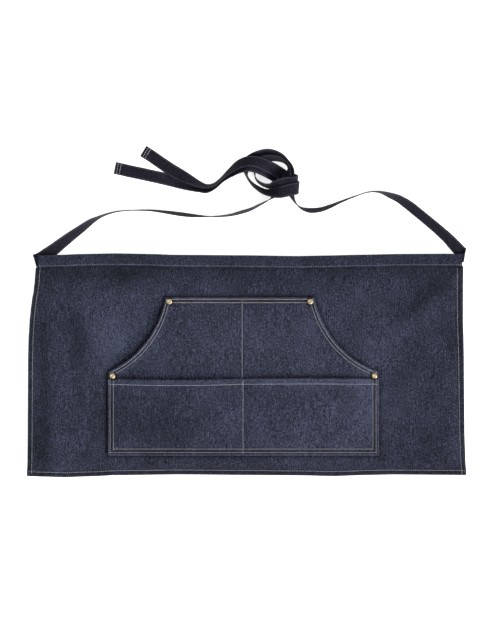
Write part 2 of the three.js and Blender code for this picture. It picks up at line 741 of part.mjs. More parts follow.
// Strap solid along stations: each has a place and either a lean or an aim, the direction of its width.
function strapGeometry(stations) {
  const curve = new THREE.CatmullRomCurve3(
    stations.map((s) => s.place),
    false,
    "centripetal",
  );
  const last = stations.length - 1;
  const aimOf = (i) => {
    const station = stations[i];
    if (station.aim) return station.aim;
    const before = stations[Math.max(0, i - 1)].place;
    const after = stations[Math.min(last, i + 1)].place;
    const heading = Math.atan2(after.y - before.y, after.x - before.x) + (Math.PI / 2) * station.side;
    const flat = Math.cos(station.lean);
    return new THREE.Vector3(Math.cos(heading) * flat, Math.sin(heading) * flat, Math.sin(station.lean));
  };
  const aims = stations.map((_, i) => aimOf(i));
  const sections = [];
  for (let i = 0; i <= last; i++) {
    const next = Math.min(last, i + 1);
    const length = stations[i].place.distanceTo(stations[next].place);
    const count = i === last ? 1 : Math.max(1, Math.round(length / stationStep));
    for (let k = 0; k < count; k++) {
      const share = k / count;
      const t = (i + share) / last;
      const place = curve.getPoint(t);
      const run = curve.getPoint(Math.min(1, t + 1e-3)).sub(curve.getPoint(Math.max(0, t - 1e-3)));
      run.normalize();
      const aim = aims[i].clone().lerp(aims[next], share);
      const square = 1 - lerp(stations[i].skew ?? 0, stations[next].skew ?? 0, share);
      const across = aim.addScaledVector(run, -square * aim.dot(run)).normalize();
      const normal = run.clone().cross(across);
      const slant = Math.max(leastSlant, normal.length());
      normal.normalize();
      const width = lerp(stations[i].width ?? tieWidth, stations[next].width ?? tieWidth, share) / slant;
      const wall = lerp(stations[i].wall ?? tieWall, stations[next].wall ?? tieWall, share);
      const corner = (w, n) =>
        place
          .clone()
          .addScaledVector(across, (w * width) / 2)
          .addScaledVector(normal, (n * wall) / 2);
      sections.push([corner(-1, -1), corner(1, -1), corner(1, 1), corner(-1, 1)]);
    }
  }
  return lofted(sections, [
    [0, 1, 2],
    [0, 2, 3],
  ]);
}

// Middle of the knot.
const knotX = knotAcross * halfWidth;
const bandMiddle = skirtHeight - bandHeight / 2;
const knotY = bandMiddle + knotRise;

const fromKnot = (rows) =>
  rows.map((row) => ({
    ...row,
    x: knotX + row.x * tieWidth,
    y: knotY + row.y * tieWidth,
    lift: row.lift * tieWidth,
  }));

const loopFrom = (rows, end) =>
  rows.map((row) => ({
    ...row,
    x: lerp(end, knotX, row.along),
    y: bandMiddle + row.up * knotRise,
    lift: 0,
  }));

const startFrom = (rows, end, inward) =>
  rows.map((row) => ({
    ...row,
    x: end + inward * row.out * tieWidth,
    y: bandMiddle + row.up * tieWidth,
    lift: 0,
  }));

// Tongue sewn between the band's two leaves: how far inside the end each station is, and its rise above
// the middle of the band's end, in tie widths.
function tongue(rows, end, inward) {
  return rows.map((row) => ({
    place: new THREE.Vector3(
      end + inward * row.inside * tieWidth,
      endMiddle(end) + row.rise * tieWidth,
      tongueHeight,
    ),
    aim: new THREE.Vector3(0, 1, 0),
    skew: 1,
    width: tongueWidth,
    wall: tongueWall,
  }));
}

const tongueHeight = endLift + clothWall + channelGap / 2;
const creaseRadius = (tongueHeight - tieWall / 2 - floorGap) / 2;

// Middle and lowest height of each crease under the band's ends, and of each turn of the knot.
const creaseLow = tieWall / 2 + floorGap;
const turnX = knotX + turnAcross * tieWidth;
const foldPlaces = {
  left_crease: { x: bandLeftEdge - creaseOut, y: endMiddle(bandLeftEdge) + leftCreaseUp, low: creaseLow },
  right_crease: {
    x: bandRightEdge + creaseOut,
    y: endMiddle(bandRightEdge) + rightCreaseUp,
    low: creaseLow,
  },
  inner_turn: { x: turnX, y: knotY - innerTurnDown * tieWidth, low: innerTurnLow },
  outer_turn: { x: turnX, y: knotY - outerTurnDown * tieWidth, low: creaseLow },
};
const foldRadii = {
  left_crease: creaseRadius,
  right_crease: creaseRadius,
  inner_turn: innerTurnRadius,
  outer_turn: outerTurnRadius,
};

const foldNamed = (name) =>
  fold({ ...foldRows.find((row) => row.name === name), ...foldPlaces[name], radius: foldRadii[name] });

function tieLeftStations() {
  const route = [
    ...startFrom(leftStartRows, bandLeftEnd, 1),
    ...loopFrom(leftLoopRows, bandLeftEnd),
    ...fromKnot(leftKnotInRows),
  ];
  return [
    ...tongue(leftTongueRows, bandLeftEnd, 1),
    ...foldNamed("left_crease"),
    ...stretch(route, 1),
    ...foldNamed("inner_turn"),
    ...stretch(fromKnot(leftKnotOutRows), -1),
  ];
}

function tieRightStations() {
  const route = [
    ...startFrom(rightStartRows, bandRightEnd, -1),
    ...loopFrom(rightLoopRows, bandRightEnd),
    ...fromKnot(rightKnotInRows),
  ];
  return [
    ...tongue(rightTongueRows, bandRightEnd, -1),
    ...foldNamed("right_crease"),
    ...stretch(route, -1),
    ...foldNamed("outer_turn"),
    ...stretch(fromKnot(rightKnotOutRows), 1),
  ];
}

// Finishes
const denim = new THREE.MeshStandardMaterial({ color: "#343648", roughness: 0.9, metalness: 0 });
const pocketDenim = new THREE.MeshStandardMaterial({ color: "#3b3e50", roughness: 0.9, metalness: 0 });
const tieDenim = new THREE.MeshStandardMaterial({ color: "#26252e", roughness: 0.9, metalness: 0 });
const brass = new THREE.MeshStandardMaterial({ color: "#b89c5a", roughness: 0.35, metalness: 1 });

function piece(name, geometry, material) {
  const mesh = new THREE.Mesh(geometry, material);
  mesh.name = name;
  return mesh;
}

const apron = new THREE.Group();
apron.add(
  piece("skirt_panel", skirtGeometry(), denim.clone()),
  piece("waistband", bandGeometry(), denim.clone()),
  piece("tie_left", strapGeometry(tieLeftStations()), tieDenim.clone()),
  piece("tie_right", strapGeometry(tieRightStations()), tieDenim.clone()),
  piece("upper_pocket", upperPocketGeometry(), pocketDenim.clone()),
  piece("lower_pocket", lowerPocketGeometry(), pocketDenim.clone()),
  ...rivetPlaces.map((rivet) => piece(rivet.name, rivetGeometry(rivet), brass.clone())),
);

// The origin is under the middle of the whole apron, on the floor.
const bounds = new THREE.Box3().setFromObject(apron);
const middle = bounds.getCenter(new THREE.Vector3());
apron.position.set(-middle.x, -middle.y, -bounds.min.z);

export default apron;
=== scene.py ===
import math

import bmesh
import bpy
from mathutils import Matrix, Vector, noise


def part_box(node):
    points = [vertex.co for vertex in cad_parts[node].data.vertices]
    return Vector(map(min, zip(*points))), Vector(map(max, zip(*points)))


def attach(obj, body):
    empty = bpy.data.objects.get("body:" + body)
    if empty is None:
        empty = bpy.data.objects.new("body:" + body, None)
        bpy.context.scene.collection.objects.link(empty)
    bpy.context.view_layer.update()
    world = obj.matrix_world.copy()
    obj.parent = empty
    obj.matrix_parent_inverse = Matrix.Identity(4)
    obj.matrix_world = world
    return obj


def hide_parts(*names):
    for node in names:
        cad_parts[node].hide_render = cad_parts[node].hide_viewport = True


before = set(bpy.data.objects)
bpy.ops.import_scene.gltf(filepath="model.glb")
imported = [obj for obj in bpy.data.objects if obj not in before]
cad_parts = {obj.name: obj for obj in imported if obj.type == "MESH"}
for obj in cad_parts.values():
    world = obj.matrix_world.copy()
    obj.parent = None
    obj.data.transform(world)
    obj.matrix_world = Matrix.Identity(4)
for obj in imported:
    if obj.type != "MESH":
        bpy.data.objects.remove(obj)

bl_info = {
    "name": "Denim waist apron",
    "version": (1, 0, 0),
    "blender": (4, 5, 0),
    "location": "3D View > Sidebar > Apron",
    "description": "Cloth, ties, rivets and seams of a denim waist apron that lies flat",
    "category": "Add Mesh",
}

MM = 0.001
# Scale of a wave texture with about one wave to a unit.
WAVE = 0.318
# Rows across a tie's free end, by their distance from it.
TIE_END_ROWS = (4 * MM, 8 * MM)
# Camera: place straight above the apron, and its focal length and sensor's width in mm with the far
# limit of its view.
CAMERA_PLACE, CAMERA_LENS = (5.21 * MM, -1.79 * MM, 4), (144, 36, 20)
# Cloth of the hand pocket in square metres, without its two curved mouths.
HAND_POCKET_AREA = 0.094
# Lamps: (name, place it shines from, spread in degrees, strength).
LAMPS = [("key", (1.7, -1.5, 1.35), 36, 4.4), ("fill", (-1.6, 1.4, 2.4), 60, 0.4)]
# Rivet: thickness of the cap's plate, and the burr's thickness and radius with the depth of its middle.
CAP_WALL, BURR_WALL, BURR_RADIUS, BURR_DEPTH = 0.5 * MM, 0.7 * MM, 3.5 * MM, 2 * MM

# Outline of the skirt: (share of the height, distance from the middle as a share of half the width).
LEFT_SIDE = [
    (0, 1.0), (0.07, 0.9975), (0.2, 0.9965), (0.52, 0.995), (0.61, 0.993), (0.7, 0.988),
    (0.75, 0.983), (0.8, 0.9765), (0.84, 0.969), (0.89, 0.9635), (0.95, 0.959), (1, 0.958),
]
RIGHT_SIDE = [
    (0, 1.006), (0.07, 1.0015), (0.2, 0.9975), (0.52, 0.995), (0.61, 0.9935), (0.7, 0.991),
    (0.89, 0.991), (0.95, 0.992), (1, 0.993),
]

# Bottom hem and waistband's upper edge: (share along half the width, rise as a share of the height).
BOTTOM_EDGE = [
    (-1, -0.004), (-0.92, -0.0066), (-0.83, -0.009), (-0.7, -0.005), (-0.6, 0), (-0.3, 0.0035),
    (0, 0.001), (0.25, -0.001), (0.4, -0.004), (0.56, 0.001), (0.67, 0.003), (1, 0.001),
]
TOP_EDGE = [
    (-1, -0.0023), (-0.85, 0.0008), (-0.76, 0.0045), (-0.6, 0.0077), (-0.44, 0.005), (-0.32, 0.0009),
    (0, -0.001), (0.23, -0.0045), (0.38, -0.0017), (0.52, 0.0014), (0.7, 0.005), (0.93, 0.006),
    (1, 0.0045),
]

# Soft folds of the skirt: (name, middle along, middle up, reach, spread, heading in degrees, rise in mm).
# Along is a share of half the width; up, reach and spread are shares of the height.
SKIRT_FOLDS = [
    ("left_side", -0.887, 0.34, 0.42, 0.032, 89, 2.0),
    ("left_hill", -0.715, 0.63, 0.15, 0.05, 95, 3.0),
    ("left_band", -0.69, 0.835, 0.25, 0.04, 3, 2.2),
    ("middle_band", 0.05, 0.845, 0.5, 0.035, 0, 0.9),
    ("right_slant", 0.841, 0.785, 0.17, 0.036, 39, 2.6),
    ("right_side", 0.88, 0.25, 0.25, 0.06, 86, 1.2),
    ("left_foot", -0.8, 0.16, 0.16, 0.06, 70, 1.0),
]

# Painted light and shade of the folds: paler patches painted where the folds face the light, darker ones
# where they fall in shade, and painted shade under the band. The same columns, with a last value above 0
# where the cloth is paler.
FOLD_LIGHT_AND_SHADE = [
    ("left_strip", -0.923, 0.47, 0.3, 0.022, 90, -0.35),
    ("left_hill", -0.6, 0.626, 0.09, 0.06, 75, 0.75),
    ("left_hollow", -0.76, 0.6, 0.1, 0.03, 85, -0.22),
    ("left_upper", -0.72, 0.77, 0.1, 0.06, 100, 0.2),
    ("left_foot", -0.84, 0.3, 0.13, 0.05, 90, 0.1),
    ("under_band_left", -0.713, 0.92, 0.35, 0.028, 2, -0.25),
    ("under_band", 0.1, 0.925, 0.8, 0.02, 0, -0.15),
    ("pocket_left", -0.416, 0.22, 0.14, 0.08, 5, -0.35),
    ("pocket_middle", -0.12, 0.27, 0.1, 0.05, 90, 0.3),
    ("pocket_right", 0.35, 0.25, 0.2, 0.08, 5, 0.2),
    ("right_slant", 0.818, 0.814, 0.15, 0.035, 39, -0.25),
    ("right_hill", 0.62, 0.5, 0.16, 0.06, 90, 0.4),
    ("right_upper", 0.45, 0.73, 0.12, 0.06, 60, 0.35),
    ("hand_pocket_left", -0.178, 0.614, 0.12, 0.08, 0, 0.2),
]

# Routes of the ties. Loop rows: (share of the way to the knot, share of the knot's rise, lean). Lean
# turns the strap about its own run, and 90 stands it on edge.
LEFT_LOOP = [
    (0.101, 0.204, 27), (0.143, 0.291, 41), (0.186, 0.376, 52), (0.228, 0.461, 65), (0.258, 0.506, 80),
    (0.292, 0.545, 87), (0.338, 0.579, 90), (0.398, 0.593, 92), (0.483, 0.593, 98),
    (0.567, 0.566, 107), (0.61, 0.549, 110), (0.652, 0.535, 108), (0.695, 0.526, 100),
    (0.75, 0.52, 90), (0.822, 0.538, 83), (0.864, 0.568, 77), (0.907, 0.604, 79), (0.949, 0.661, 84),
]
RIGHT_LOOP = [
    (0.073, 0.2635, 30), (0.125, 0.368, 36), (0.177, 0.465, 40), (0.229, 0.561, 40),
    (0.281, 0.653, 42), (0.333, 0.728, 55), (0.385, 0.774, 68), (0.427, 0.805, 84),
    (0.4635, 0.813, 90), (0.5, 0.805, 91), (0.542, 0.776, 93), (0.594, 0.734, 96),
    (0.646, 0.688, 101), (0.698, 0.638, 109), (0.75, 0.601, 114), (0.802, 0.593, 116),
]

# First stretch after the fold under the band: (out, up, lean), in tie widths from the band's end.
LEFT_START = [(0.15, 0.2, 0), (0.72, 0.56, 3), (1.3, 0.94, 12)]
RIGHT_START = [(0.2, 0.88, 0), (0.72, 1.41, 18)]

# Tongues sewn inside the band: (inside, rise), in tie widths from the middle of the band's end.
LEFT_TONGUE = [(0.6, 0), (0.3, 0), (0.02, 0.02)]
RIGHT_TONGUE = [(0.6, -0.1), (0.3, -0.07), (0.06, 0)]

# The knot: (x, y, lean, lift), in tie widths from its middle. Lift is the height of the lowest edge.
LEFT_KNOT_IN = [
    (-0.33, -2.02, 90, 0), (0.08, -1.75, 102, 0), (0.61, -1.39, 122, 0), (0.94, -1.01, 138, 0.1),
    (1.07, -0.57, 140, 0.22), (1.2, -0.15, 137, 0.23), (1.34, 0.25, 118, 0.23), (1.36, 0.57, 102, 0.17),
    (1.28, 0.88, 96, 0.06), (1.03, 1.16, 102, 0), (0.66, 1.35, 112, 0), (0, 1.45, 118, 0),
    (-0.66, 1.36, 124, 0), (-1.11, 1.11, 133, 0), (-1.37, 0.74, 120, 0), (-1.43, 0.25, 95, 0),
    (-1.3, -0.29, 87, 0), (-0.96, -0.61, 80, 0), (-0.49, -0.81, 75, 0), (0.04, -0.87, 60, 0.06),
    (0.41, -0.82, 38, 0.48), (0.74, -0.72, 13, 0.89), (1.19, -0.62, 3, 1),
]
LEFT_KNOT_OUT = [
    (1.19, -0.1, 0, 0.11), (0.74, 0.16, 0, 0.14), (0.33, 0.41, 0, 0.32), (-0.08, 0.63, -3, 0.56),
    (-0.82, 0.96, -8, 0.91), (-1.48, 1.13, -18, 0.93), (-2.13, 1.11, -30, 0.83),
    (-2.79, 0.86, -45, 0.51), (-3.44, 0.39, -62, 0.1), (-4.1, -0.21, -75, 0), (-4.75, -0.75, -70, 0),
    (-5.41, -0.87, -66, 0), (-5.98, -0.7, -56, 0.03), (-6.72, -0.35, -35, 0.1), (-7.54, 0.09, -8, 0.11),
    (-8.36, 0.58, 0, 0.1), (-9.18, 1.13, 0, 0.04), (-10, 1.7, 0, 0), (-10.56, 2.05, 0, 0),
]
RIGHT_KNOT_IN = [
    (2.54, -2.72, 106, 0), (2.21, -2.54, 96, 0), (1.97, -2.3, 90, 0), (1.77, -1.97, 82, 0),
    (1.61, -1.64, 70, 0.05), (1.39, -1.19, 50, 0.16), (1.3, -0.7, 40, 0.2), (1.39, -0.27, 39, 0.22),
    (1.53, 0.12, 47, 0.23), (1.59, 0.49, 68, 0.19), (1.52, 0.82, 82, 0.07), (1.25, 1.19, 78, 0),
    (0.76, 1.61, 68, 0), (0.16, 1.86, 62, 0), (-0.49, 1.92, 60, 0), (-1.15, 1.72, 52, 0),
    (-1.7, 1.39, 38, 0), (-2.02, 1.02, 30, 0), (-2.16, 0.61, 48, 0), (-2.15, 0.23, 78, 0),
    (-1.98, -0.19, 82, 0), (-1.64, -0.64, 74, 0.01), (-1.16, -1.02, 66, 0.03), (-0.59, -1.31, 60, 0.13),
    (0.04, -1.39, 45, 0.44), (0.41, -1.39, 25, 0.79), (0.74, -1.36, 8, 1.05), (1.19, -1.25, 2, 1.13),
]
RIGHT_KNOT_OUT = [
    (1.19, -0.51, 0, 0), (0.74, -0.28, 0, 0), (0.33, -0.05, 0, 0.07), (-0.08, 0.18, 2, 0.28),
    (-0.82, 0.51, 6, 0.7), (-1.48, 0.72, 13, 0.88), (-2.13, 0.75, 22, 0.83), (-2.79, 0.53, 40, 0.46),
    (-3.44, 0.12, 58, 0.07), (-4.1, -0.4, 72, 0), (-4.75, -0.92, 66, 0), (-5.33, -1.15, 55, 0),
    (-5.9, -1.02, 44, 0), (-6.72, -0.78, 22, 0), (-7.54, -0.56, 5, 0), (-8.36, -0.34, 0, 0),
    (-9.18, -0.15, 0, 0), (-10, 0.03, 0, 0), (-10.82, 0.21, 0, 0), (-11.64, 0.38, 0, 0),
    (-12.46, 0.57, 0, 0), (-12.89, 0.66, 0, 0),
]

# Folds of the ties: (crease heading, strap heading before it, side it stands out, side of the leaning
# edge, share of the width at the start, where it then widens).
LEFT_CREASE = (106.4, 180, -1, 1, 0.62, 0)
RIGHT_CREASE = (80, 12, 1, 1, 0.62, 1)

# Turns beside the knot: (fold, depth below its middle in tie widths, height of the lower layer, radius).
INNER_TURN = ((85, 9, 1, 1, 1, 0), 0.44, 2.8 * MM, 9.15 * MM)
OUTER_TURN = ((85, 9, 1, -1, 1, 0), 0.93, 0.95 * MM, 11.25 * MM)

# Both routes: (tongue, crease, its rise above the band's middle, start, loop, way into the knot, side
# that leans up there, turn beside the knot, way out of it).
ROUTES = [
    (LEFT_TONGUE, LEFT_CREASE, 1.2 * MM, LEFT_START, LEFT_LOOP, LEFT_KNOT_IN, 1, INNER_TURN,
     LEFT_KNOT_OUT),
    (RIGHT_TONGUE, RIGHT_CREASE, 8.1 * MM, RIGHT_START, RIGHT_LOOP, RIGHT_KNOT_IN, -1, OUTER_TURN,
     RIGHT_KNOT_OUT),
]


def size(name, description, default):
    return bpy.props.FloatProperty(name=name, description=description, default=default, unit="LENGTH")


def colour(name, description, default):
    return bpy.props.StringProperty(name=name, description=description, default=default)


class ApronCloth(bpy.types.PropertyGroup):
    """Sizes of the cloth pieces."""

    skirt_width: size("Skirt width", "Width of the skirt at its bottom hem", 0.7)
    skirt_height: size("Skirt height", "Height from the bottom hem to the top of the waistband", 0.352)
    cloth_wall: size("Cloth thickness", "Thickness of one layer of denim", 0.001)
    hem_width: size("Hem width", "Width of the cloth turned under at the skirt's edges", 0.0095)
    band_height: size("Waistband height", "Height of the folded waistband", 0.0194)
    pocket_width: size("Pocket width", "Width of both pockets at their lower part", 0.432)
    pocket_height: size("Pocket height", "Height of the hand pocket", 0.252)
    pocket_bottom: size("Pocket rise", "Height of the pockets' bottom edge above the hem", 0.032)
    mouth_height: size("Mouth height", "Height of the hand pocket's curved mouths", 0.119)
    mouth_radius: size("Mouth radius", "Radius of the hand pocket's curved mouths", 0.155)


class ApronTies(bpy.types.PropertyGroup):
    """Sizes of the two ties."""

    width: size("Tie width", "Width of the flat ties", 0.0195)
    wall: size("Tie thickness", "Thickness of the folded and sewn tie", 0.0013)
    knot_rise: size("Knot rise", "Height of the knot's middle above the waistband's middle", 0.136)


class ApronTrim(bpy.types.PropertyGroup):
    """Sizes of the seams and the rivets."""

    stitch_length: size("Stitch length", "Length of one stitch on the face of the cloth", 0.0027)
    stitch_pitch: size("Stitch pitch", "Distance from one stitch to the next", 0.0034)
    thread: size("Thread thickness", "Thickness of the sewing thread", 0.0009)
    rivet_radius: size("Rivet radius", "Radius of the rivets' caps", 0.0045)


class ApronColours(bpy.types.PropertyGroup):
    """Colours of the cloth, the threads and the brass, as sRGB hex values."""

    denim_dark: colour("Denim, dark yarn", "Darkest warp yarn of the skirt", "#0b0d17")
    denim_light: colour("Denim, light yarn", "Lightest yarn of the skirt", "#42465b")
    pocket_dark: colour("Pocket, dark yarn", "Darkest warp yarn of the pockets", "#0e111d")
    pocket_light: colour("Pocket, light yarn", "Lightest yarn of the pockets", "#4a4d63")
    tie_dark: colour("Tie, dark yarn", "Darkest yarn of the ties", "#06050b")
    tie_light: colour("Tie, light yarn", "Lightest yarn of the ties", "#2b2838")
    thread_tan: colour("Tan thread", "Thread of the hand pocket's upper edge", "#c5b9ac")
    thread_grey: colour("Grey thread", "Thread of mouths, centre and tie ends", "#b4b5be")
    thread_sand: colour("Sand thread", "Thread of the hems and the pockets' outline", "#a2a29e")
    thread_teal: colour("Blue grey thread", "Thread of the waistband", "#697181")
    thread_dark: colour("Dark thread", "Thread of the ties' edges", "#3d3d49")
    brass: colour("Brass", "Rivet metal", "#d2c19c")


SETTINGS = {"apron_cloth": ApronCloth, "apron_ties": ApronTies, "apron_trim": ApronTrim,
            "apron_colours": ApronColours}


# Small sums
def clamp(t):
    return max(0.0, min(1.0, t))


def smooth(t):
    t = clamp(t)
    return t * t * (3 - 2 * t)


def lerp(a, b, t):
    return a + (b - a) * t


def bell(t):
    return math.exp(-t * t / 2)


def rising(distance, start, length):
    """Smooth step from 0 to 1 that starts at a distance in mm and takes a length in mm."""
    return smooth((distance - start * MM) / (length * MM))


def falling(distance, end, length):
    """Smooth step from 1 to 0 that takes a length in mm and ends at a distance in mm."""
    return smooth((end * MM - distance) / (length * MM))


def hump(distance, middle, spread):
    """Bell of height 1 round a distance in mm, with its spread in mm."""
    return bell((distance - middle * MM) / (spread * MM))


def steps(low, high, step):
    count = max(1, math.ceil((high - low) / step))
    return [lerp(low, high, i / count) for i in range(count + 1)]


def between(rows, place):
    """Value at a place of a table of (place, value) rows."""
    if place <= rows[0][0]:
        return rows[0][1]
    for (a, low), (b, high) in zip(rows, rows[1:]):
        if place <= b:
            share = (place - a) / (b - a)
            return lerp(low, high, (smooth(share) + share) / 2)
    return rows[-1][1]


def crumple(x, y, size, seed):
    """Smooth noise from about -1 to 1 whose bumps are about the given size across."""
    return noise.noise(Vector((x / size, y / size, seed)))


def turned(length, radius):
    """How far out and down a cloth has gone after a length of a fold that turns it under."""
    arc = min(length, math.pi * radius)
    out = radius * math.sin(arc / radius) - max(0.0, length - math.pi * radius)
    return out, radius * (1 - math.cos(arc / radius))


class Apron:
    """Plan and heights of the cloth, in metres, from the middle of the nominal bottom edge."""

    # Plan: the pockets' middle, the centre seam, how far the hand pocket's upper corners lie inside its
    # lower ones, and the wide pocket's mouth below the curved ones.
    pocket_shift, centre = -4 * MM, -5 * MM
    top_insets = (91 * MM, 103 * MM)
    mouth_step = 11 * MM
    rivet_inset = 6.5 * MM

    # Seam rows, each by its distance from the edge beside it; the right hem's widens on its way up.
    left_row, foot_row = 6.8 * MM, 7.0 * MM
    right_rows = (6.8 * MM, 9.6 * MM)
    seam_rows = (3.0 * MM, 8.2 * MM)
    mouth_rows = (2.6 * MM, 7.0 * MM)
    wide_mouth_row = 8.6 * MM
    # Centre rows of the hand pocket and the wide pocket, by their shift from the centre seam; the rows
    # at the pockets' right side and bottom lie a little further in than the others.
    centre_rows = (-1.2 * MM, 0.2 * MM)
    right_shift, foot_shift = 1.2 * MM, 1.7 * MM

    # Heights of the cloth's middle above the floor, the least gap of two layers, and the rise of both
    # ends of the waistband.
    skirt_rest, band_rest, band_back = 1.95 * MM, 3.45 * MM, 0.7 * MM
    least_gap = 0.6 * MM
    lift = 2.5 * MM
    fold_radius = 0.6 * MM

    def __init__(self, context):
        scene = context.scene
        cloth = scene.apron_cloth
        self.cloth, self.ties, self.trim = cloth, scene.apron_ties, scene.apron_trim
        self.half, self.height, self.wall = cloth.skirt_width / 2, cloth.skirt_height, cloth.cloth_wall
        self.band_row = cloth.band_height - 1.9 * MM
        self.band_ends = (self.left_edge(self.height), self.right_edge(self.height))
        self.left = self.pocket_shift - cloth.pocket_width / 2
        self.right = self.pocket_shift + cloth.pocket_width / 2
        self.bottom = cloth.pocket_bottom
        self.top = self.bottom + cloth.pocket_height
        self.mouth_bottom = self.top - cloth.mouth_height
        self.lower_top = self.mouth_bottom - self.mouth_step
        top_left, top_right = self.left + self.top_insets[0], self.right - self.top_insets[1]
        self.mouths = [self.mouth_centre(self.left, top_left), self.mouth_centre(self.right, top_right)]
        inset = self.rivet_inset
        self.rivets = {
            "rivet_top_left": (top_left + inset, self.top - inset),
            "rivet_top_right": (top_right - inset, self.top - inset),
            "rivet_side_left": (self.left + inset, self.mouth_bottom - inset),
            "rivet_side_right": (self.right - inset, self.mouth_bottom - inset),
        }
        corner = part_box("lower_pocket")[0]
        self.shift = Vector((corner.x - self.left, corner.y - self.bottom, 0))

    # Plan
    def left_edge(self, y):
        return -self.half * between(LEFT_SIDE, y / self.height)

    def right_edge(self, y):
        return self.half * between(RIGHT_SIDE, y / self.height)

    def bottom_edge(self, x):
        return self.height * between(BOTTOM_EDGE, x / self.half)

    def band_top(self, x):
        return self.height * (1 + between(TOP_EDGE, x / self.half))

    def band_bottom(self, x):
        return self.band_top(x) - self.cloth.band_height

    def from_band_end(self, x):
        return min(x - self.band_ends[0], self.band_ends[1] - x)

    def mouth_centre(self, low, high):
        rise, radius = self.cloth.mouth_height, self.cloth.mouth_radius
        chord = math.hypot(high - low, rise)
        away = math.copysign(math.sqrt(radius ** 2 - (chord / 2) ** 2), high - low)
        return ((low + high) / 2 - away * rise / chord,
                (self.mouth_bottom + self.top) / 2 + away * (high - low) / chord)

    def mouth_edge(self, side, y, row=0.0):
        """X of a curved mouth at a height, or of a row that runs inside it; side 0 is the left."""
        x, middle = self.mouths[side]
        reach = math.sqrt(max(0.0, (self.cloth.mouth_radius + row) ** 2 - (y - middle) ** 2))
        return x - reach if side else x + reach

    def pocket_side(self, side, y):
        """X of the wide pocket's edge, the same at each height; side 0 is the left."""
        return (self.left, self.right)[side]

    def pocket_edge(self, side, y):
        """X of the hand pocket's edge at a height; side 0 is the left."""
        return self.pocket_side(side, y) if y <= self.mouth_bottom else self.mouth_edge(side, y)

    def mouth_distance(self, x, y):
        """Distance inside the nearer curved mouth, large below the mouths."""
        if y < self.mouth_bottom - 12 * MM:
            return 1.0
        return min(math.hypot(x - cx, y - cy) for cx, cy in self.mouths) - self.cloth.mouth_radius

    def rivet_distance(self, x, y):
        return min(math.hypot(x - rx, y - ry) for rx, ry in self.rivets.values())

    def outside_pocket(self, x, y):
        """Distance outside the pockets' outline, below 0 inside it."""
        return max(self.left - x, x - self.right, self.bottom - y, y - self.top,
                   -self.mouth_distance(x, y))

    def right_row(self, y):
        return lerp(*self.right_rows, clamp(y / self.height))

    def hem_sides(self, x, y):
        """Distance inside each of the three hemmed edges, its row's distance, and the place along it."""
        return [(x - self.left_edge(y), self.left_row, y),
                (self.right_edge(y) - x, self.right_row(y), y + 0.1),
                (y - self.bottom_edge(x), self.foot_row, x)]

    def upper_sewn(self, x, y):
        """Distance to the hand pocket's nearest sewn edge."""
        above = max(0.0, y - self.mouth_bottom)
        return min(self.top - y, y - self.bottom, math.hypot(x - self.left, above),
                   math.hypot(x - self.right, above))

    def lower_sewn(self, x, y):
        """Distance to the wide pocket's nearest sewn edge."""
        return min(x - self.left, self.right - x, y - self.bottom)

    # Heights
    def end_lift(self, x, y):
        along = falling(self.from_band_end(x) - 2.4 * MM, 82, 41)
        return self.lift * along * falling(self.band_bottom(x) - y, 58, 58)

    def patches(self, table, x, y):
        """Sum of a table's soft oval patches at a place."""
        total = 0.0
        for _, along, up, reach, spread, heading, amount in table:
            dx, dy = x - along * self.half, y - up * self.height
            turn = math.radians(heading)
            a = (dx * math.cos(turn) + dy * math.sin(turn)) / (reach * self.height)
            b = (dy * math.cos(turn) - dx * math.sin(turn)) / (spread * self.height)
            if abs(a) < 4 and abs(b) < 4:
                total += amount * math.exp(-(a * a + b * b) / 2)
        return total

    def panel(self, x, y):
        """Height of the middle of the skirt's cloth."""
        left, right, foot = (side[0] for side in self.hem_sides(x, y))
        near_band = self.band_bottom(x) - y
        free = rising(min(left, right, foot, near_band), 3, 20)
        waves = crumple(x, y, 44 * MM, 3.1) * 0.9 + crumple(x * 1.3, y * 0.8, 21 * MM, 8.7) * 0.3
        waves += crumple(x, y * 0.7, 95 * MM, 12.2) * 1.7 + 1.4 + 1.5 * self.patches(SKIRT_FOLDS, x, y)
        hem = self.cloth.hem_width
        corner = falling(min(left, right) - hem, 3, 3) * falling(foot - hem, 3, 3)
        rise = 2 * self.fold_radius * corner - 0.15 * MM * falling(near_band, 3, 3)
        return self.skirt_rest + self.end_lift(x, y) + rise + free * waves * MM

    def hem_relief(self, x, y):
        """Ridge and twist of the hems with their rows sunk in."""
        edge, row, t = min(self.hem_sides(x, y))
        if edge > 14 * MM or self.band_bottom(x) - y < 1.5 * MM:
            return 0.0
        twist = math.sin(2 * math.pi * (t + 0.55 * edge) / (7.2 * MM) + 2 * crumple(t, 0, 30 * MM, 1.7))
        ridge = 0.16 * twist * rising(edge, 0, 1.5) * falling(edge - row, 2, 4)
        return (ridge - 0.28 * hump(edge - row, 0, 0.9) + 0.25 * falling(edge - row, 1.6, 1)) * MM

    def skirt_face(self, x, y):
        return self.panel(x, y) + self.hem_relief(x, y) + self.wall / 2

    def openness(self, sewn, x, side, middle):
        """Share from 0 to 1 that a pouch stands open, with its reach in mm from a side and the middle."""
        def share(distance, reach):
            return math.sin(math.pi / 2 * clamp((distance - 9.5 * MM) / (reach * MM)))

        return share(sewn, side) * share(abs(x - self.centre) + 5 * MM, middle)

    def seam_relief(self, distance):
        """Ridges of the turned edge between the sunk rows, at a distance from a sewn edge."""
        if distance > 14 * MM:
            return 0.0
        rows = sum(hump(distance - row, 0, 0.8) for row in self.seam_rows)
        return (0.55 * falling(distance, 10.2, 1.2) - 0.4 * rows) * MM

    def centre_relief(self, x):
        distance = abs(x - self.centre - self.centre_rows[0])
        return (0.15 * hump(distance, 3, 1.5) - 0.35 * hump(distance, 0, 0.9)) * MM

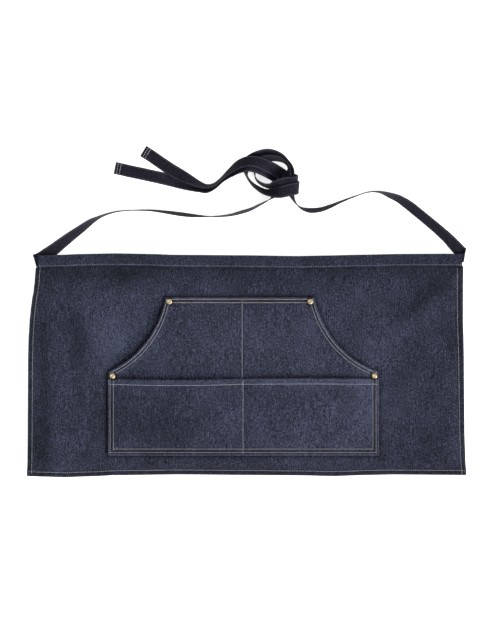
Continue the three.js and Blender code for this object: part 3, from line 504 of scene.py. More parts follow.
    def upper(self, x, y):
        """Height of the middle of the hand pocket's cloth."""
        sewn, mouth = self.upper_sewn(x, y), self.mouth_distance(x, y)
        lip = falling(mouth, 16, 16) * rising(sewn, 3, 26)
        soft = crumple(x + 1, y, 38 * MM, 5.2) * 0.7 + crumple(x, y, 17 * MM, 2.2) * 0.25 + 0.6
        gap = (1.1 + soft) * self.openness(sewn, x, 38, 30) + 3.3 * lip
        gap += 1.1 * falling(mouth, 13.5, 9) * smooth(1.4 - lip)
        gap -= 0.3 * hump(mouth - self.mouth_rows[1], 0, 0.8) * rising(sewn, 0, 8)
        gap -= 0.2 * bell(max(0.0, self.rivet_distance(x, y) - 3.5 * MM) / (3.2 * MM))
        relief = self.seam_relief(sewn) + self.centre_relief(x) * rising(self.top - y, 0, 12)
        return self.panel(x, y) + self.wall + self.least_gap + gap * MM + relief

    def upper_face(self, x, y):
        return self.upper(x, y) + self.wall / 2

    def droop(self, x, y):
        """How far the wide pocket's cloth has sagged towards its bottom at a place."""
        share = (x - self.left) / (self.centre - self.left)
        sag = (1.9 if share < 1 else 0.6) * math.sin(math.pi * share) * MM
        low, high = self.bottom + 20 * MM, self.lower_top - 10 * MM
        return sag * smooth((y - low) / (high - low))

    def lower(self, x, y):
        """Height of the middle of the wide pocket's cloth, before its droop."""
        sewn, from_mouth = self.lower_sewn(x, y), self.lower_top - y
        share = self.openness(sewn, x, 34, 26)
        soft = crumple(x + 2, y, 42 * MM, 9.4) * 0.8 + crumple(x, y, 18 * MM, 6.1) * 0.3 + 0.7
        gap = share * (1.3 + soft + 2.6 * falling(from_mouth, 17, 17))
        gap += 0.9 * falling(from_mouth, 9.1, 7) * (1 - share) + 0.3 * falling(from_mouth, 10, 1)
        gap -= 0.35 * rising(sewn, 2, 6) * hump(from_mouth - self.wide_mouth_row, 0, 0.8)
        shift = self.centre_rows[1] - self.centre_rows[0]
        relief = self.seam_relief(sewn) * 0.8 + self.centre_relief(x - shift)
        return self.upper(x, y) + self.wall + self.least_gap + gap * MM + relief

    def lower_face(self, x, y):
        return self.lower(x, y + self.droop(x, y)) + self.wall / 2

    def band_mid(self, x, down):
        """Height of the middle of the band's front leaf at a distance below its upper edge."""
        wavy = 0.25 * crumple(x, 0, 24 * MM, 4.4) + 0.12 * crumple(x, 0, 9 * MM, 7.7)
        share = clamp(down / (self.cloth.band_height - 1.6 * MM))
        swell = 0.55 * math.sin(math.pi * share) * (1 + 0.4 * wavy)
        row = 0.35 * hump(down - self.band_row, 0, 0.9)
        return self.band_rest + self.end_lift(x, self.band_bottom(x)) + (swell + wavy - row) * MM

    def band_face(self, x, y):
        return self.band_mid(x, self.band_top(x) - y) + self.wall / 2


# Meshes
def deselect_all():
    if bpy.context.object and bpy.context.object.mode != "OBJECT":
        bpy.ops.object.mode_set(mode="OBJECT")
    bpy.ops.object.select_all(action="DESELECT")


def select_only(piece):
    deselect_all()
    piece.select_set(True)
    bpy.context.view_layer.objects.active = piece


def remove(piece):
    mesh = piece.data
    bpy.data.objects.remove(piece)
    bpy.data.meshes.remove(mesh)


def new_piece(name, points, faces, shift, material):
    """Mesh object from points in the cloth's own frame, moved into the row's frame."""
    mesh = bpy.data.meshes.new(name)
    mesh.from_pydata([Vector(p) + shift for p in points], [], faces)
    mesh.update()
    piece = bpy.data.objects.new(name, mesh)
    bpy.context.scene.collection.objects.link(piece)
    mesh.materials.append(material)
    mesh.shade_smooth()
    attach(piece, "root")
    return piece


def apply_modifier(piece, kind, **settings):
    select_only(piece)
    modifier = piece.modifiers.new(kind.title(), kind)
    for key, value in settings.items():
        setattr(modifier, key, value)
    bpy.ops.object.modifier_apply(modifier=modifier.name)


def grid_faces(rows, columns, kept=lambda r, c: True):
    return [(r * columns + c, r * columns + c + 1, (r + 1) * columns + c + 1, (r + 1) * columns + c)
            for r in range(rows - 1) for c in range(columns - 1) if kept(r, c)]


def drop_loose(shape):
    bmesh.ops.delete(shape, geom=[v for v in shape.verts if not v.link_faces], context="VERTS")


def turn_outwards(shape):
    bmesh.ops.recalc_face_normals(shape, faces=shape.faces)


def mend(piece, action):
    """Lets an action change a piece's mesh as a bmesh."""
    shape = bmesh.new()
    shape.from_mesh(piece.data)
    action(shape)
    shape.to_mesh(piece.data)
    shape.free()


def face_map(mesh, spots):
    """UV map whose two values each corner gets from its point."""
    uv = mesh.uv_layers.new(name="cloth")
    for loop in mesh.loops:
        uv.data[loop.index].uv = spots[loop.vertex_index]


# The point attribute holds real wear at rubbed edges together with painted shade and painted light.
def wear_and_shade_map(piece, values):
    layer = piece.data.attributes.new("wear_and_shade", "FLOAT", "POINT")
    layer.data.foreach_set("value", values)


# Cloth pieces
def flat_steps(length, step):
    """Distances across a flat stretch, closer together near both ends."""
    near = [value * MM for value in (0, 0.8, 1.6, 2.6, 3.6, 4.8, 6, 7.2, 8.2, 9.2, 10.4, 12, 14)]
    middle = steps(near[-1], length - near[-1], step)[1:-1]
    return near + middle + [length - value for value in reversed(near)]


def bordered(turns, flat):
    """Grid lines as (side, value) pairs: those turned under at both ends and the flat ones between."""
    return ([(-1, value) for value in reversed(turns)] + [(0, value) for value in flat]
            + [(1, value) for value in turns])


def make_skirt(apron, material):
    radius, width, hem = apron.fold_radius, 2 * apron.half, apron.cloth.hem_width
    under = [share * hem / 9.5 for share in (0.35, 0.7, 1.05, 1.4, 1.9, 3.5, 6, 8, 9.5)]
    inside_band = 2.6 * MM
    tall = apron.height - inside_band
    columns = bordered(under, flat_steps(width, 3.2 * MM))
    # A row of points on each side of the waistband's lower edge.
    seam = apron.height - apron.cloth.band_height
    levels = [value for value in flat_steps(tall, 3.2 * MM) if abs(value - seam) > 1.8 * MM]
    levels = sorted(levels + [seam - 1 * MM, seam + 0.8 * MM])
    rows = [(-1, value) for value in reversed(under)] + [(0, value) for value in levels]
    points, wear_and_shade = [], []
    for row_side, v in rows:
        level = 0.0 if row_side else v
        out_y, down_y = turned(v, radius) if row_side else (0.0, 0.0)
        x_low, x_high = apron.left_edge(level) + radius, apron.right_edge(level) - radius
        for side, u in columns:
            out_x, down_x = turned(u, radius) if side else (0.0, 0.0)
            x = {-1: x_low - out_x, 0: lerp(x_low, x_high, u / width), 1: x_high + out_x}[side]
            y_low = apron.bottom_edge(x) + radius
            y = y_low - out_y if row_side else lerp(y_low, apron.band_top(x) - inside_band, level / tall)
            relief = 0.0 if side or row_side else apron.hem_relief(x, y)
            points.append((x, y, apron.panel(x, y) + relief - down_x - down_y))
            edge, row, _ = min(apron.hem_sides(x, y))
            # Paler right at the edge where it has rubbed, and darker in a band between the edge and its
            # row.
            rubbed = 0.3 * hump(edge, 1, 1.2) - 0.45 * hump(edge - 0.55 * row, 0, 2.6)
            # Painted shade: darker just outside the pockets' outline and just under the waistband's lower
            # edge, where shade falls; the fold table adds painted light and shade.
            beside = 0.6 * hump(apron.outside_pocket(x, y), 1.2, 2.4)
            beside += 0.4 * hump(apron.band_bottom(x) - y, 1, 2.2)
            wear_and_shade.append(rubbed - beside + apron.patches(FOLD_LIGHT_AND_SHADE, x, y))
    count = len(columns)

    def kept(r, c):
        """Leaves out what would stand beside the waistband's ends or crowd inside them."""
        x, y, _ = points[r * count + c]
        in_band = y - apron.band_bottom(x)
        if columns[c][0] or columns[c + 1][0]:
            return in_band < -1.4 * MM
        return apron.from_band_end(x) > 16 * MM or in_band < 0.5 * MM

    piece = new_piece("skirt_cloth", points, grid_faces(len(rows), count, kept), apron.shift, material)
    wear_and_shade_map(piece, wear_and_shade)
    mend(piece, drop_loose)
    apply_modifier(piece, "SOLIDIFY", thickness=apron.wall, offset=0)
    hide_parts("skirt_panel")


def thickened(path, wall):
    """Closed outline round an open plane path, with half-round ends."""
    last = len(path) - 1
    sides = []
    for i, (a, b) in enumerate(path):
        before, after = path[max(0, i - 1)], path[min(last, i + 1)]
        run = Vector((after[0] - before[0], after[1] - before[1])).normalized()
        sides.append((Vector((a, b)), Vector((-run.y, run.x)), run))
    half = wall / 2
    outline = [p + n * half for p, n, _ in sides]
    p, n, run = sides[-1]
    outline += [p + n * half * math.cos(a) + run * half * math.sin(a) for a in (0.8, 1.57, 2.34)]
    outline += [p - n * half for p, n, _ in reversed(sides)]
    p, n, run = sides[0]
    outline += [p - n * half * math.cos(a) - run * half * math.sin(a) for a in (0.8, 1.57, 2.34)]
    return outline


def lofted_faces(sections, around):
    faces = []
    for s in range(sections - 1):
        for k in range(around):
            a, b = s * around + k, s * around + (k + 1) % around
            faces.append((a, b, b + around, a + around))
    faces.append(tuple(range(around)))
    faces.append(tuple(reversed(range((sections - 1) * around, sections * around))))
    return faces


def make_band(apron, material):
    inset = 2.2 * MM
    low, high = apron.band_ends[0] + inset, apron.band_ends[1] - inset
    tall = apron.cloth.band_height
    last_down = tall - 0.5 * MM
    fold_down, fold_reach = 2 * MM, 1.5 * MM
    front = [down * MM for down in (2, 2.8, 4, 5.5, 7, 9, 11, 13, 15, 16.2, 17.1, 17.6, 18.3)]
    front = [down for down in front if down < last_down] + [last_down]
    points, wear_and_shade, around = [], [], 0
    places = steps(low, high, 2.6 * MM)
    for x in places:
        drop = 0.2 * MM * (1 - rising(min(x - low, high - x), -1, 4))
        path = [(-down, apron.band_mid(x, down) - drop) for down in reversed(front)]
        fold_top = apron.band_mid(x, fold_down) - drop
        back = apron.end_lift(x, apron.band_bottom(x)) + apron.band_back
        middle, radius = (fold_top + back) / 2, (fold_top - back) / 2
        for turn in map(math.radians, (70, 50, 30, 10, -10, -30, -50, -70)):
            path.append((fold_reach * math.cos(turn) - fold_down, middle + radius * math.sin(turn)))
        path += [(-down, back) for down in (fold_down, 6 * MM, 11 * MM, 16 * MM, last_down)]
        outline = thickened(path, apron.wall)
        around = len(outline)
        points += [(x, apron.band_top(x) + p.x, p.y) for p in outline]
        wear_and_shade += [0.3 * (hump(p.x, -0.6, 1.3) + 0.6 * hump(p.x + tall, 0.8, 1.2)) - 0.08 for p in outline]
    piece = new_piece("waistband_cloth", points, lofted_faces(len(places), around), apron.shift,
                      material)
    wear_and_shade_map(piece, wear_and_shade)
    mend(piece, turn_outwards)
    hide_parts("waistband")


def pocket_grid(apron, top, edge_at, free_at, height_at, back):
    """Points of a pocket: a grid with its border turned under, fully where it is free."""
    radius = apron.fold_radius
    turns = [0.12, 0.25, 0.4, 0.6, 0.8, 1]
    width, tall = apron.cloth.pocket_width, top - apron.bottom - 2 * radius
    columns = bordered(turns, [value / width for value in flat_steps(width, 3 * MM)])
    rows = bordered(turns, flat_steps(tall, 3 * MM))

    def rim(side, y):
        slope = (edge_at(side, y + 0.5 * MM) - edge_at(side, y - 0.5 * MM)) / (1 * MM)
        way = Vector((1, -slope)).normalized() * (1 if side else -1)
        return Vector((edge_at(side, y), y)), way

    def turned_under(free):
        return lerp(math.pi / 2 * radius, math.pi * radius + back, free)

    points = []
    for row_side, v in rows:
        y = apron.bottom + radius + {-1: 0.0, 0: v, 1: tall}[row_side]
        out_y, down_y = turned(v * turned_under(free_at(y, row_side)), radius) if row_side else (0.0, 0.0)
        reach = turned_under(free_at(y, 0))
        ends = [rim(0, y), rim(1, y)]
        inner = [end - way * radius for end, way in ends]
        for side, u in columns:
            if side:
                end, way = ends[side > 0]
                out, down = turned(u * reach, radius)
                spot = end + way * (out - radius)
            else:
                spot, down = inner[0].lerp(inner[1], u), 0.0
            y_out = spot.y + row_side * out_y
            points.append((spot.x, y_out, height_at(spot.x, y_out) - down - down_y))
    return points, grid_faces(len(rows), len(columns))


def make_pocket(apron, name, node, grid, wear_at, material, flat, **sheet):
    """One pocket from its points and faces; the sheet's settings are not used."""
    points, faces = grid
    piece = new_piece(name, points, faces, apron.shift, material)
    # Painted shade: a dark ring round each rivet where the cloth dips; the fold table adds painted light
    # and shade.
    wear_and_shade_map(piece, [wear_at(x, y) - 1.3 * hump(apron.rivet_distance(x, y), 5, 1.6)
                     + apron.patches(FOLD_LIGHT_AND_SHADE, x, y) for x, y, _ in points])
    if sum(face.normal.z * face.area for face in piece.data.polygons) < 0:
        piece.data.flip_normals()
    apply_modifier(piece, "SOLIDIFY", thickness=apron.wall, offset=0)
    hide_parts(node)


def make_upper_pocket(apron, material):
    def free_at(y, row_side):
        return 0.0 if row_side else rising(y - apron.mouth_bottom, 6, 18)

    def height(x, y):
        return apron.upper(x, min(max(y, apron.bottom), apron.top))

    def wear_at(x, y):
        edge = min(apron.upper_sewn(x, y), apron.mouth_distance(x, y))
        # Paler right at the sewn edges and the mouths where they have rubbed, and darker in a band some 5
        # mm in.
        return 0.35 * hump(edge, 0.8, 1) - 0.25 * hump(edge, 5.4, 2)

    grid = pocket_grid(apron, apron.top, apron.pocket_edge, free_at, height, 5 * MM)
    make_pocket(apron, "hand_pocket_cloth", "upper_pocket", grid, wear_at, material,
                (apron.cloth.pocket_width, apron.cloth.pocket_height), rests_on=["skirt_cloth"],
                area=HAND_POCKET_AREA)


def make_lower_pocket(apron, material):
    def free_at(y, row_side):
        return 1.0 if row_side == 1 else 0.0

    def height(x, y):
        return apron.lower(x, min(max(y, apron.bottom), apron.lower_top))

    def wear_at(x, y):
        sewn, from_mouth = apron.lower_sewn(x, y), apron.lower_top - y
        # Paler right at the sewn edges and the mouth where they have rubbed, darker in a band some 5 mm
        # inside the sewn edges, and paler in a band about 5 mm below the mouth.
        rubbed = 0.35 * hump(min(sewn, from_mouth), 0.8, 1) - 0.4 * hump(sewn, 5.4, 2.2)
        return rubbed + 0.25 * hump(from_mouth, 5, 3)

    points, faces = pocket_grid(apron, apron.lower_top, apron.pocket_side, free_at, height, 1.2 * MM)
    points = [(x, y - apron.droop(x, y), z) for x, y, z in points]
    make_pocket(apron, "wide_pocket_cloth", "lower_pocket", (points, faces), wear_at, material,
                (apron.cloth.pocket_width, apron.lower_top - apron.bottom),
                rests_on=["hand_pocket_cloth"])


# Ties
class TieRoute:
    """Places and turns of one tie, from its tongue in the band to its free end."""

    # Height above the floor, and half the thickness that the layers are laid with.
    clearance, half_wall = 0.2 * MM, 0.75 * MM
    # The tongue's width, how far its middle lies above the band's back leaf, how far the band's end
    # stands inside the skirt's edge, and how far the crease's middle stands outside that edge.
    tongue_width, tongue_gap, end_inset, crease_out = 11 * MM, 0.92 * MM, 2.4 * MM, 0.4 * MM
    # Middle of the knot as a share of half the width, and where both ties turn back beside it, in tie
    # widths from that middle.
    knot_along, turn_along = 0.119, 1.61

    def __init__(self, apron, right):
        self.apron, self.width = apron, apron.ties.width
        self.band_middle = apron.height - apron.cloth.band_height / 2
        self.knot = Vector((self.knot_along * apron.half, self.band_middle + apron.ties.knot_rise))
        self.inward = -1 if right else 1
        edge = apron.band_ends[right]
        self.end = edge + self.end_inset * self.inward
        self.stations = []
        tongue, crease, rise, start, loop, knot_in, side, turn, knot_out = ROUTES[right]
        low = self.half_wall + self.clearance
        height = apron.lift + apron.wall + self.tongue_gap
        self.add_tongue(tongue, height)
        self.add_fold(crease, edge - self.crease_out * self.inward, self.middle(edge) + rise, low,
                      (height - low) / 2)
        self.add_run(start, loop)
        self.add_knot(knot_in, side)
        self.add_turn(*turn)
        self.add_knot(knot_out, -side)

    def middle(self, x):
        return self.apron.band_top(x) - self.apron.cloth.band_height / 2

    def add(self, place, lean=None, side=1, aim=None, skew=0.0, width=None):
        self.stations.append({"place": place, "lean": lean, "side": side, "aim": aim, "skew": skew,
                              "width": width or self.width})

    def add_leaning(self, x, y, lean, lift, side):
        turn = math.radians(lean)
        rest = self.width / 2 * abs(math.sin(turn)) + self.half_wall * abs(math.cos(turn))
        self.add(Vector((x, y, rest + self.clearance + lift)), lean=turn, side=side)

    def add_tongue(self, rows, height):
        for inside, rise in rows:
            place = Vector((self.end + self.inward * inside * self.width,
                            self.middle(self.end) + rise * self.width, height))
            self.add(place, aim=Vector((0, 1, 0)), skew=1.0, width=self.tongue_width)

    def add_fold(self, fold, x, y, low, radius):
        """Half a turn of the strap round a slanting crease, from its upper layer to its lower one."""
        heading, before, outward, aim_side, start, widens = fold
        turn = math.radians(heading)
        axis = Vector((math.cos(turn), math.sin(turn), 0))
        away = Vector((axis.y, -axis.x, 0)) * outward
        angle = math.radians(heading - before)
        shift = math.pi * radius * math.cos(angle) / abs(math.sin(angle))
        middle = Vector((x, y, low + radius))
        for i in range(7):
            phase = math.pi * i / 6
            width = lerp(start * self.width, self.width, clamp(i / 3))
            place = middle + away * radius * math.sin(phase) + axis * shift * (i / 6 - 0.5)
            place += axis * widens * (width - self.width) / 2
            place.z += radius * math.cos(phase)
            self.add(place, aim=axis * aim_side, skew=1.0, width=width)

    def add_turn(self, fold, down, low, radius):
        self.add_fold(fold, self.knot.x + self.turn_along * self.width, self.knot.y - down * self.width,
                      low, radius)

    def add_run(self, start, loop):
        """The stretch from the fold under the band to the knot."""
        for out, up, lean in start:
            self.add_leaning(self.end + self.inward * out * self.width,
                             self.band_middle + up * self.width, lean, 0, self.inward)
        for along, up, lean in loop:
            self.add_leaning(lerp(self.end, self.knot.x, along),
                             self.band_middle + up * self.apron.ties.knot_rise, lean, 0, self.inward)

    def add_knot(self, rows, side):
        for x, y, lean, lift in rows:
            self.add_leaning(self.knot.x + x * self.width, self.knot.y + y * self.width, lean,
                             lift * self.width, side)

    def point(self, i, share):
        """Centripetal curve through the stations."""
        p = [station["place"] for station in self.stations]
        last = len(p) - 1
        a = p[i - 1] if i > 0 else 2 * p[0] - p[1]
        d = p[i + 2] if i + 2 <= last else 2 * p[last] - p[last - 1]
        b, c = p[i], p[i + 1]
        gaps = [math.sqrt((second - first).length) for first, second in ((a, b), (b, c), (c, d))]
        g0, g1, g2 = (max(gap, 1e-5) for gap in gaps)
        leave = ((b - a) / g0 - (c - a) / (g0 + g1) + (c - b) / g1) * g1
        meet = ((c - b) / g1 - (d - b) / (g1 + g2) + (d - c) / g2) * g1
        t = share
        return (b + leave * t + (3 * (c - b) - 2 * leave - meet) * t * t
                + (2 * (b - c) + leave + meet) * t * t * t)

    def aim(self, i):
        station = self.stations[i]
        if station["aim"]:
            return station["aim"]
        last = len(self.stations) - 1
        before, after = self.stations[max(0, i - 1)]["place"], self.stations[min(last, i + 1)]["place"]
        heading = math.atan2(after.y - before.y, after.x - before.x) + math.pi / 2 * station["side"]
        flat = math.cos(station["lean"])
        return Vector((math.cos(heading) * flat, math.sin(heading) * flat, math.sin(station["lean"])))

    def sections(self, step):
        """(place, across, normal, width) at even steps."""
        found = []
        last = len(self.stations) - 1
        for i in range(last):
            here, after = self.stations[i], self.stations[i + 1]
            count = max(1, round((after["place"] - here["place"]).length / step))
            for k in range(count):
                share = k / count
                place = self.point(i, share)
                ahead = self.point(i, min(1, share + 0.02)) - self.point(i, max(0, share - 0.02))
                run = ahead.normalized()
                aim = self.aim(i).lerp(self.aim(i + 1), share)
                square = 1 - lerp(here["skew"], after["skew"], share)
                across = (aim - run * square * aim.dot(run)).normalized()
                normal = run.cross(across)
                slant = max(0.85, normal.length)
                width = lerp(here["width"], after["width"], share) / slant
                found.append([place, across, normal.normalized(), width])
        found.append([self.stations[last]["place"]] + found[-1][1:])
        return found


def smoothed(sections):
    """The same sections with their turns evened out along the strap."""
    last = len(sections) - 1
    calm = []
    for i, (place, across, normal, width) in enumerate(sections):
        near = [sections[min(last, max(0, i + k))] for k in (-2, -1, 0, 1, 2)]
        side = sum((s[1] for s in near), Vector()).normalized()
        up = sum((s[2] for s in near), Vector())
        up = (up - side * up.dot(side)).normalized()
        calm.append((place, side, up, width))
    return calm


def make_tie(apron, right, material):
    """One tie; gives its sections and their distances along it."""
    sections = smoothed(TieRoute(apron, right).sections(2.2 * MM))
    wall = apron.ties.wall
    # Share of the thickness at distances in mm from an edge: full at the seam, sunk at its row.
    profile = [(0, 0), (0.15, 0.5), (0.45, 0.85), (1, 1), (1.8, 0.74), (2.6, 1), (4.5, 0.97), (7, 0.93)]
    middle_share = 0.92
    points, spots, wear_and_shade, lengths = [], [], [], [0.0]
    for a, b in zip(sections, sections[1:]):
        lengths.append(lengths[-1] + (b[0] - a[0]).length)
    total = lengths[-1]
    for along, (place, across, up, width) in zip(lengths, sections):
        tip = total - along
        hem = 1 + 0.35 * falling(tip, 9.5, 1) - 0.3 * sum(hump(tip - row, 0, 0.9) for row in TIE_END_ROWS)
        seal = 0.25 if along in (0.0, total) else 1.0
        share = width / apron.ties.width * MM
        flat = [(d * share - width / 2, f) for d, f in profile] + [(0, middle_share)]
        flat += [(-p, f) for p, f in reversed(flat[:-1])]
        for p, f in flat + [(p, -f) for p, f in reversed(flat[1:-1])]:
            ripple = 0.12 * MM * crumple(along, p * 0.4, 13 * MM, 3.3 + right)
            points.append(place + across * p + up * (f * wall / 2 * seal * hem + ripple))
            spots.append((p, along))
            wear_and_shade.append(0.8 * hump(width / 2 - abs(p), 0.3, 1.1))
    name = "tie_right" if right else "tie_left"
    around = len(points) // len(sections)
    piece = new_piece(name + "_strap", points, lofted_faces(len(sections), around), apron.shift, material)
    face_map(piece.data, spots)
    wear_and_shade_map(piece, wear_and_shade)
    mend(piece, turn_outwards)
    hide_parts(name)
    return sections, lengths


# Seams
def stitch_shape(trim):
    """One stitch, a low rounded bar along X, as (points, faces)."""
    deselect_all()
    bpy.ops.mesh.primitive_uv_sphere_add(segments=6, ring_count=4, radius=trim.thread / 2)
    bpy.ops.object.mode_set(mode="EDIT")
    bpy.ops.mesh.select_all(action="SELECT")
    bpy.ops.transform.rotate(value=math.pi / 2, orient_axis="Y", center_override=(0, 0, 0))
    bpy.ops.transform.resize(value=(trim.stitch_length / trim.thread, 1, 0.7), center_override=(0, 0, 0))
    bpy.ops.object.mode_set(mode="OBJECT")
    mesh = bpy.context.object.data
    found = [v.co.copy() for v in mesh.vertices], [tuple(f.vertices) for f in mesh.polygons]
    remove(bpy.context.object)
    return found


def walk(path, pitch):
    """Even places along a path of (point, up) pairs, as (point, run, up)."""
    places, gone, wanted = [], 0.0, pitch / 2
    for (a, up_a), (b, up_b) in zip(path, path[1:]):
        length = (b - a).length
        while length > 0 and wanted <= gone + length:
            share = (wanted - gone) / length
            places.append((a.lerp(b, share), (b - a) / length, up_a.lerp(up_b, share)))
            wanted += pitch
        gone += length
    return places


def row_over(face, *spots):
    """Path of a seam row over a face of the cloth, from plan points."""
    path = []
    for (ax, ay), (bx, by) in zip(spots, spots[1:]):
        for share in steps(0, 1, min(1, 0.8 * MM / max(math.hypot(bx - ax, by - ay), 1e-6))):
            x, y = lerp(ax, bx, share), lerp(ay, by, share)
            path.append((Vector((x, y, face(x, y))), Vector((0, 0, 1))))
    return path


def sew(apron, name, paths, material):
    """All stitches of a group of rows, as one piece, each a little slanted and sunk into the cloth."""
    points, faces = [], []
    shape_points, shape_faces = stitch_shape(apron.trim)
    rise = 0.25 * apron.trim.thread
    for number, path in enumerate(paths):
        for k, (place, run, up) in enumerate(walk(path, apron.trim.stitch_pitch)):
            side = up.cross(run).normalized()
            up = run.cross(side).normalized()
            slant = 0.1 + 0.08 * crumple(k, number * 7, 2.3, 1.1)
            run, side = (run + side * slant).normalized(), (side - run * slant).normalized()
            base = len(points)
            points += [place + run * p.x + side * p.y + up * (p.z + rise) for p in shape_points]
            faces += [tuple(base + i for i in face) for face in shape_faces]
    mend(new_piece(name, points, faces, apron.shift, material), turn_outwards)


def hem_paths(apron):
    end = 2 * MM
    heights = steps(end, apron.height - apron.cloth.band_height, 4 * MM)
    left = [(apron.left_edge(y) + apron.left_row, y) for y in heights]
    right = [(apron.right_edge(y) - apron.right_row(y), y) for y in heights]
    bottom = [(x, apron.bottom_edge(x) + apron.foot_row)
              for x in steps(apron.left_edge(0) + end, apron.right_edge(0) - end, 4 * MM)]
    return [row_over(apron.skirt_face, *row) for row in (left, right, bottom)]


def waist_paths(apron):
    end = 3.5 * MM
    places = steps(apron.band_ends[0] + end, apron.band_ends[1] - end, 4 * MM)
    return [row_over(apron.band_face, *[(x, apron.band_top(x) - apron.band_row) for x in places])]


def pocket_top_paths(apron):
    heights = [apron.top - row for row in apron.seam_rows]
    return [row_over(apron.upper_face, (apron.pocket_edge(0, y) + 3 * MM, y),
                     (apron.pocket_edge(1, y) - 3 * MM, y)) for y in heights]


def mouth_paths(apron):
    heights = steps(apron.mouth_bottom - 2 * MM, apron.top - 2 * MM, 3 * MM)
    return [row_over(apron.upper_face, *[(apron.mouth_edge(side, y, row), y) for y in heights])
            for side in (0, 1) for row in apron.mouth_rows]


def pocket_side_paths(apron):
    """Double rows down both sides and along the bottom, over the wide pocket and above it."""
    paths = []
    for row in apron.seam_rows:
        low, right = apron.bottom + row, apron.right - row
        for x in (apron.left + row, right - apron.right_shift):
            paths.append(row_over(apron.lower_face, (x, low), (x, apron.lower_top - 1 * MM)))
            paths.append(row_over(apron.upper_face, (x, apron.lower_top + 1 * MM),
                                  (x, apron.mouth_bottom - 1 * MM)))
        y = low + apron.foot_shift
        paths.append(row_over(apron.lower_face, (apron.left + row, y), (right, y)))
    return paths


def pocket_plain_paths(apron):
    """Centre rows of both pockets and the hem row of the wide pocket."""
    upper_x, lower_x = (apron.centre + shift for shift in apron.centre_rows)
    row, end = apron.lower_top - apron.wide_mouth_row, 2 * MM
    hem = [(x, row - apron.droop(x, row)) for x in steps(apron.left + end, apron.right - end, 4 * MM)]
    upper = [(upper_x, apron.lower_top + 1 * MM), (upper_x, apron.top - end)]
    lower = [(lower_x, apron.bottom + end), (lower_x, apron.lower_top - 1 * MM)]
    return [row_over(apron.upper_face, *upper), row_over(apron.lower_face, *lower),
            row_over(apron.lower_face, *hem)]


def tie_edge_paths(apron, sections, lengths):
    """Rows along both edges of a tie, on both of its faces."""
    visible = [s for s, length in zip(sections, lengths) if 14 * MM < length < lengths[-1] - 1.5 * MM]
    inset, lift = 1.8 * MM, 0.33 * apron.ties.wall
    return [[(place + across * side * (width / 2 - inset) + up * face * lift, up * face)
             for place, across, up, width in visible] for face in (1, -1) for side in (-1, 1)]


def tie_end_paths(apron, sections, lengths):
    """Two rows across the free end of a tie, on both of its faces."""
    inset, lift = 1.5 * MM, 0.4 * apron.ties.wall
    near = [min(zip(sections, lengths), key=lambda item: abs(lengths[-1] - item[1] - row))[0]
            for row in TIE_END_ROWS]
    return [[(place + across * side * (width / 2 - inset) + up * face * lift, up * face)
             for side in (-1, 1)] for place, across, up, width in near for face in (1, -1)]


# Rivets
def rivet_shape(trim):
    """One rivet with its cap's underside at the origin: stem and burr below, domed cap above."""
    deselect_all()
    bpy.ops.mesh.primitive_cylinder_add(vertices=32, radius=trim.rivet_radius, depth=CAP_WALL,
                                        location=(0, 0, CAP_WALL / 2))
    bpy.ops.object.mode_set(mode="EDIT")
    bpy.ops.mesh.select_mode(type="FACE")

    def grow(up, *moves):
        """Insets and lifts the upper or lower face in turn, by (inset, rise) pairs in mm."""
        bpy.ops.mesh.select_all(action="DESELECT")
        shape = bmesh.from_edit_mesh(bpy.context.object.data)
        face = max(shape.faces, key=lambda f: f.calc_center_median().z * up)
        face.select = True
        shape.select_flush_mode()
        bmesh.update_edit_mesh(bpy.context.object.data)
        for inset, rise in moves:
            if inset:
                bpy.ops.mesh.inset(thickness=inset * MM, depth=0)
            else:
                bpy.ops.mesh.extrude_region_move()
            bpy.ops.transform.translate(value=(0, 0, rise * MM))

    grow(1, (0.18, 0.28), (0.3, 0.3), (0.5, 0.27), (0.7, 0.18), (0.55, 0.05), (0.3, -0.14),
         (0.35, -0.22), (0.45, 0.02), (0.25, 0.12), (0.3, 0.06))
    grow(-1, (0.3, 0.0), (2.2, -0.05), (0, -1.6))
    bpy.ops.object.mode_set(mode="OBJECT")
    rivet = bpy.context.object
    deselect_all()
    bpy.ops.mesh.primitive_cylinder_add(vertices=28, radius=BURR_RADIUS, depth=BURR_WALL,
                                        location=(0, 0, -BURR_DEPTH))
    burr = bpy.context.object
    apply_modifier(burr, "BEVEL", width=0.2 * MM, segments=2)
    select_only(rivet)
    burr.select_set(True)
    bpy.ops.object.join()
    bpy.ops.object.transform_apply()
    return rivet


# Materials
def linear(code):
    """Linear colour of an sRGB hex value."""
    parts = [int(code.lstrip("#")[i:i + 2], 16) / 255 for i in (0, 2, 4)]
    return [part / 12.92 if part <= 0.04045 else ((part + 0.055) / 1.055) ** 2.4
            for part in parts] + [1.0]


def add_node(tree, kind, inputs=None, **settings):
    """Adds a node with its settings, and links or sets its inputs."""
    node = tree.nodes.new(kind)
    for key, value in settings.items():
        setattr(node, key, value)
    for key, value in (inputs or {}).items():
        if isinstance(value, bpy.types.NodeSocket):
            tree.links.new(value, node.inputs[key])
        else:
            node.inputs[key].default_value = value
    return node


def new_material(name):
    """Empty material and its tree, or the tree None where it is there already."""
    if name in bpy.data.materials:
        return bpy.data.materials[name], None
    material = bpy.data.materials.new(name)
    material.use_nodes = True
    material.node_tree.nodes.clear()
    return material, material.node_tree


def finish_material(tree, inputs):
    shader = add_node(tree, "ShaderNodeBsdfPrincipled", inputs)
    add_node(tree, "ShaderNodeOutputMaterial", {"Surface": shader.outputs["BSDF"]})


def noise_of(tree, spot, scale, detail, **inputs):
    return add_node(tree, "ShaderNodeTexNoise", {
        "Vector": spot, "Scale": scale, "Detail": detail, **inputs}).outputs["Fac"]


def bumped(tree, height, strength, distance):
    return add_node(tree, "ShaderNodeBump", {
        "Height": height, "Strength": strength, "Distance": distance}).outputs["Normal"]


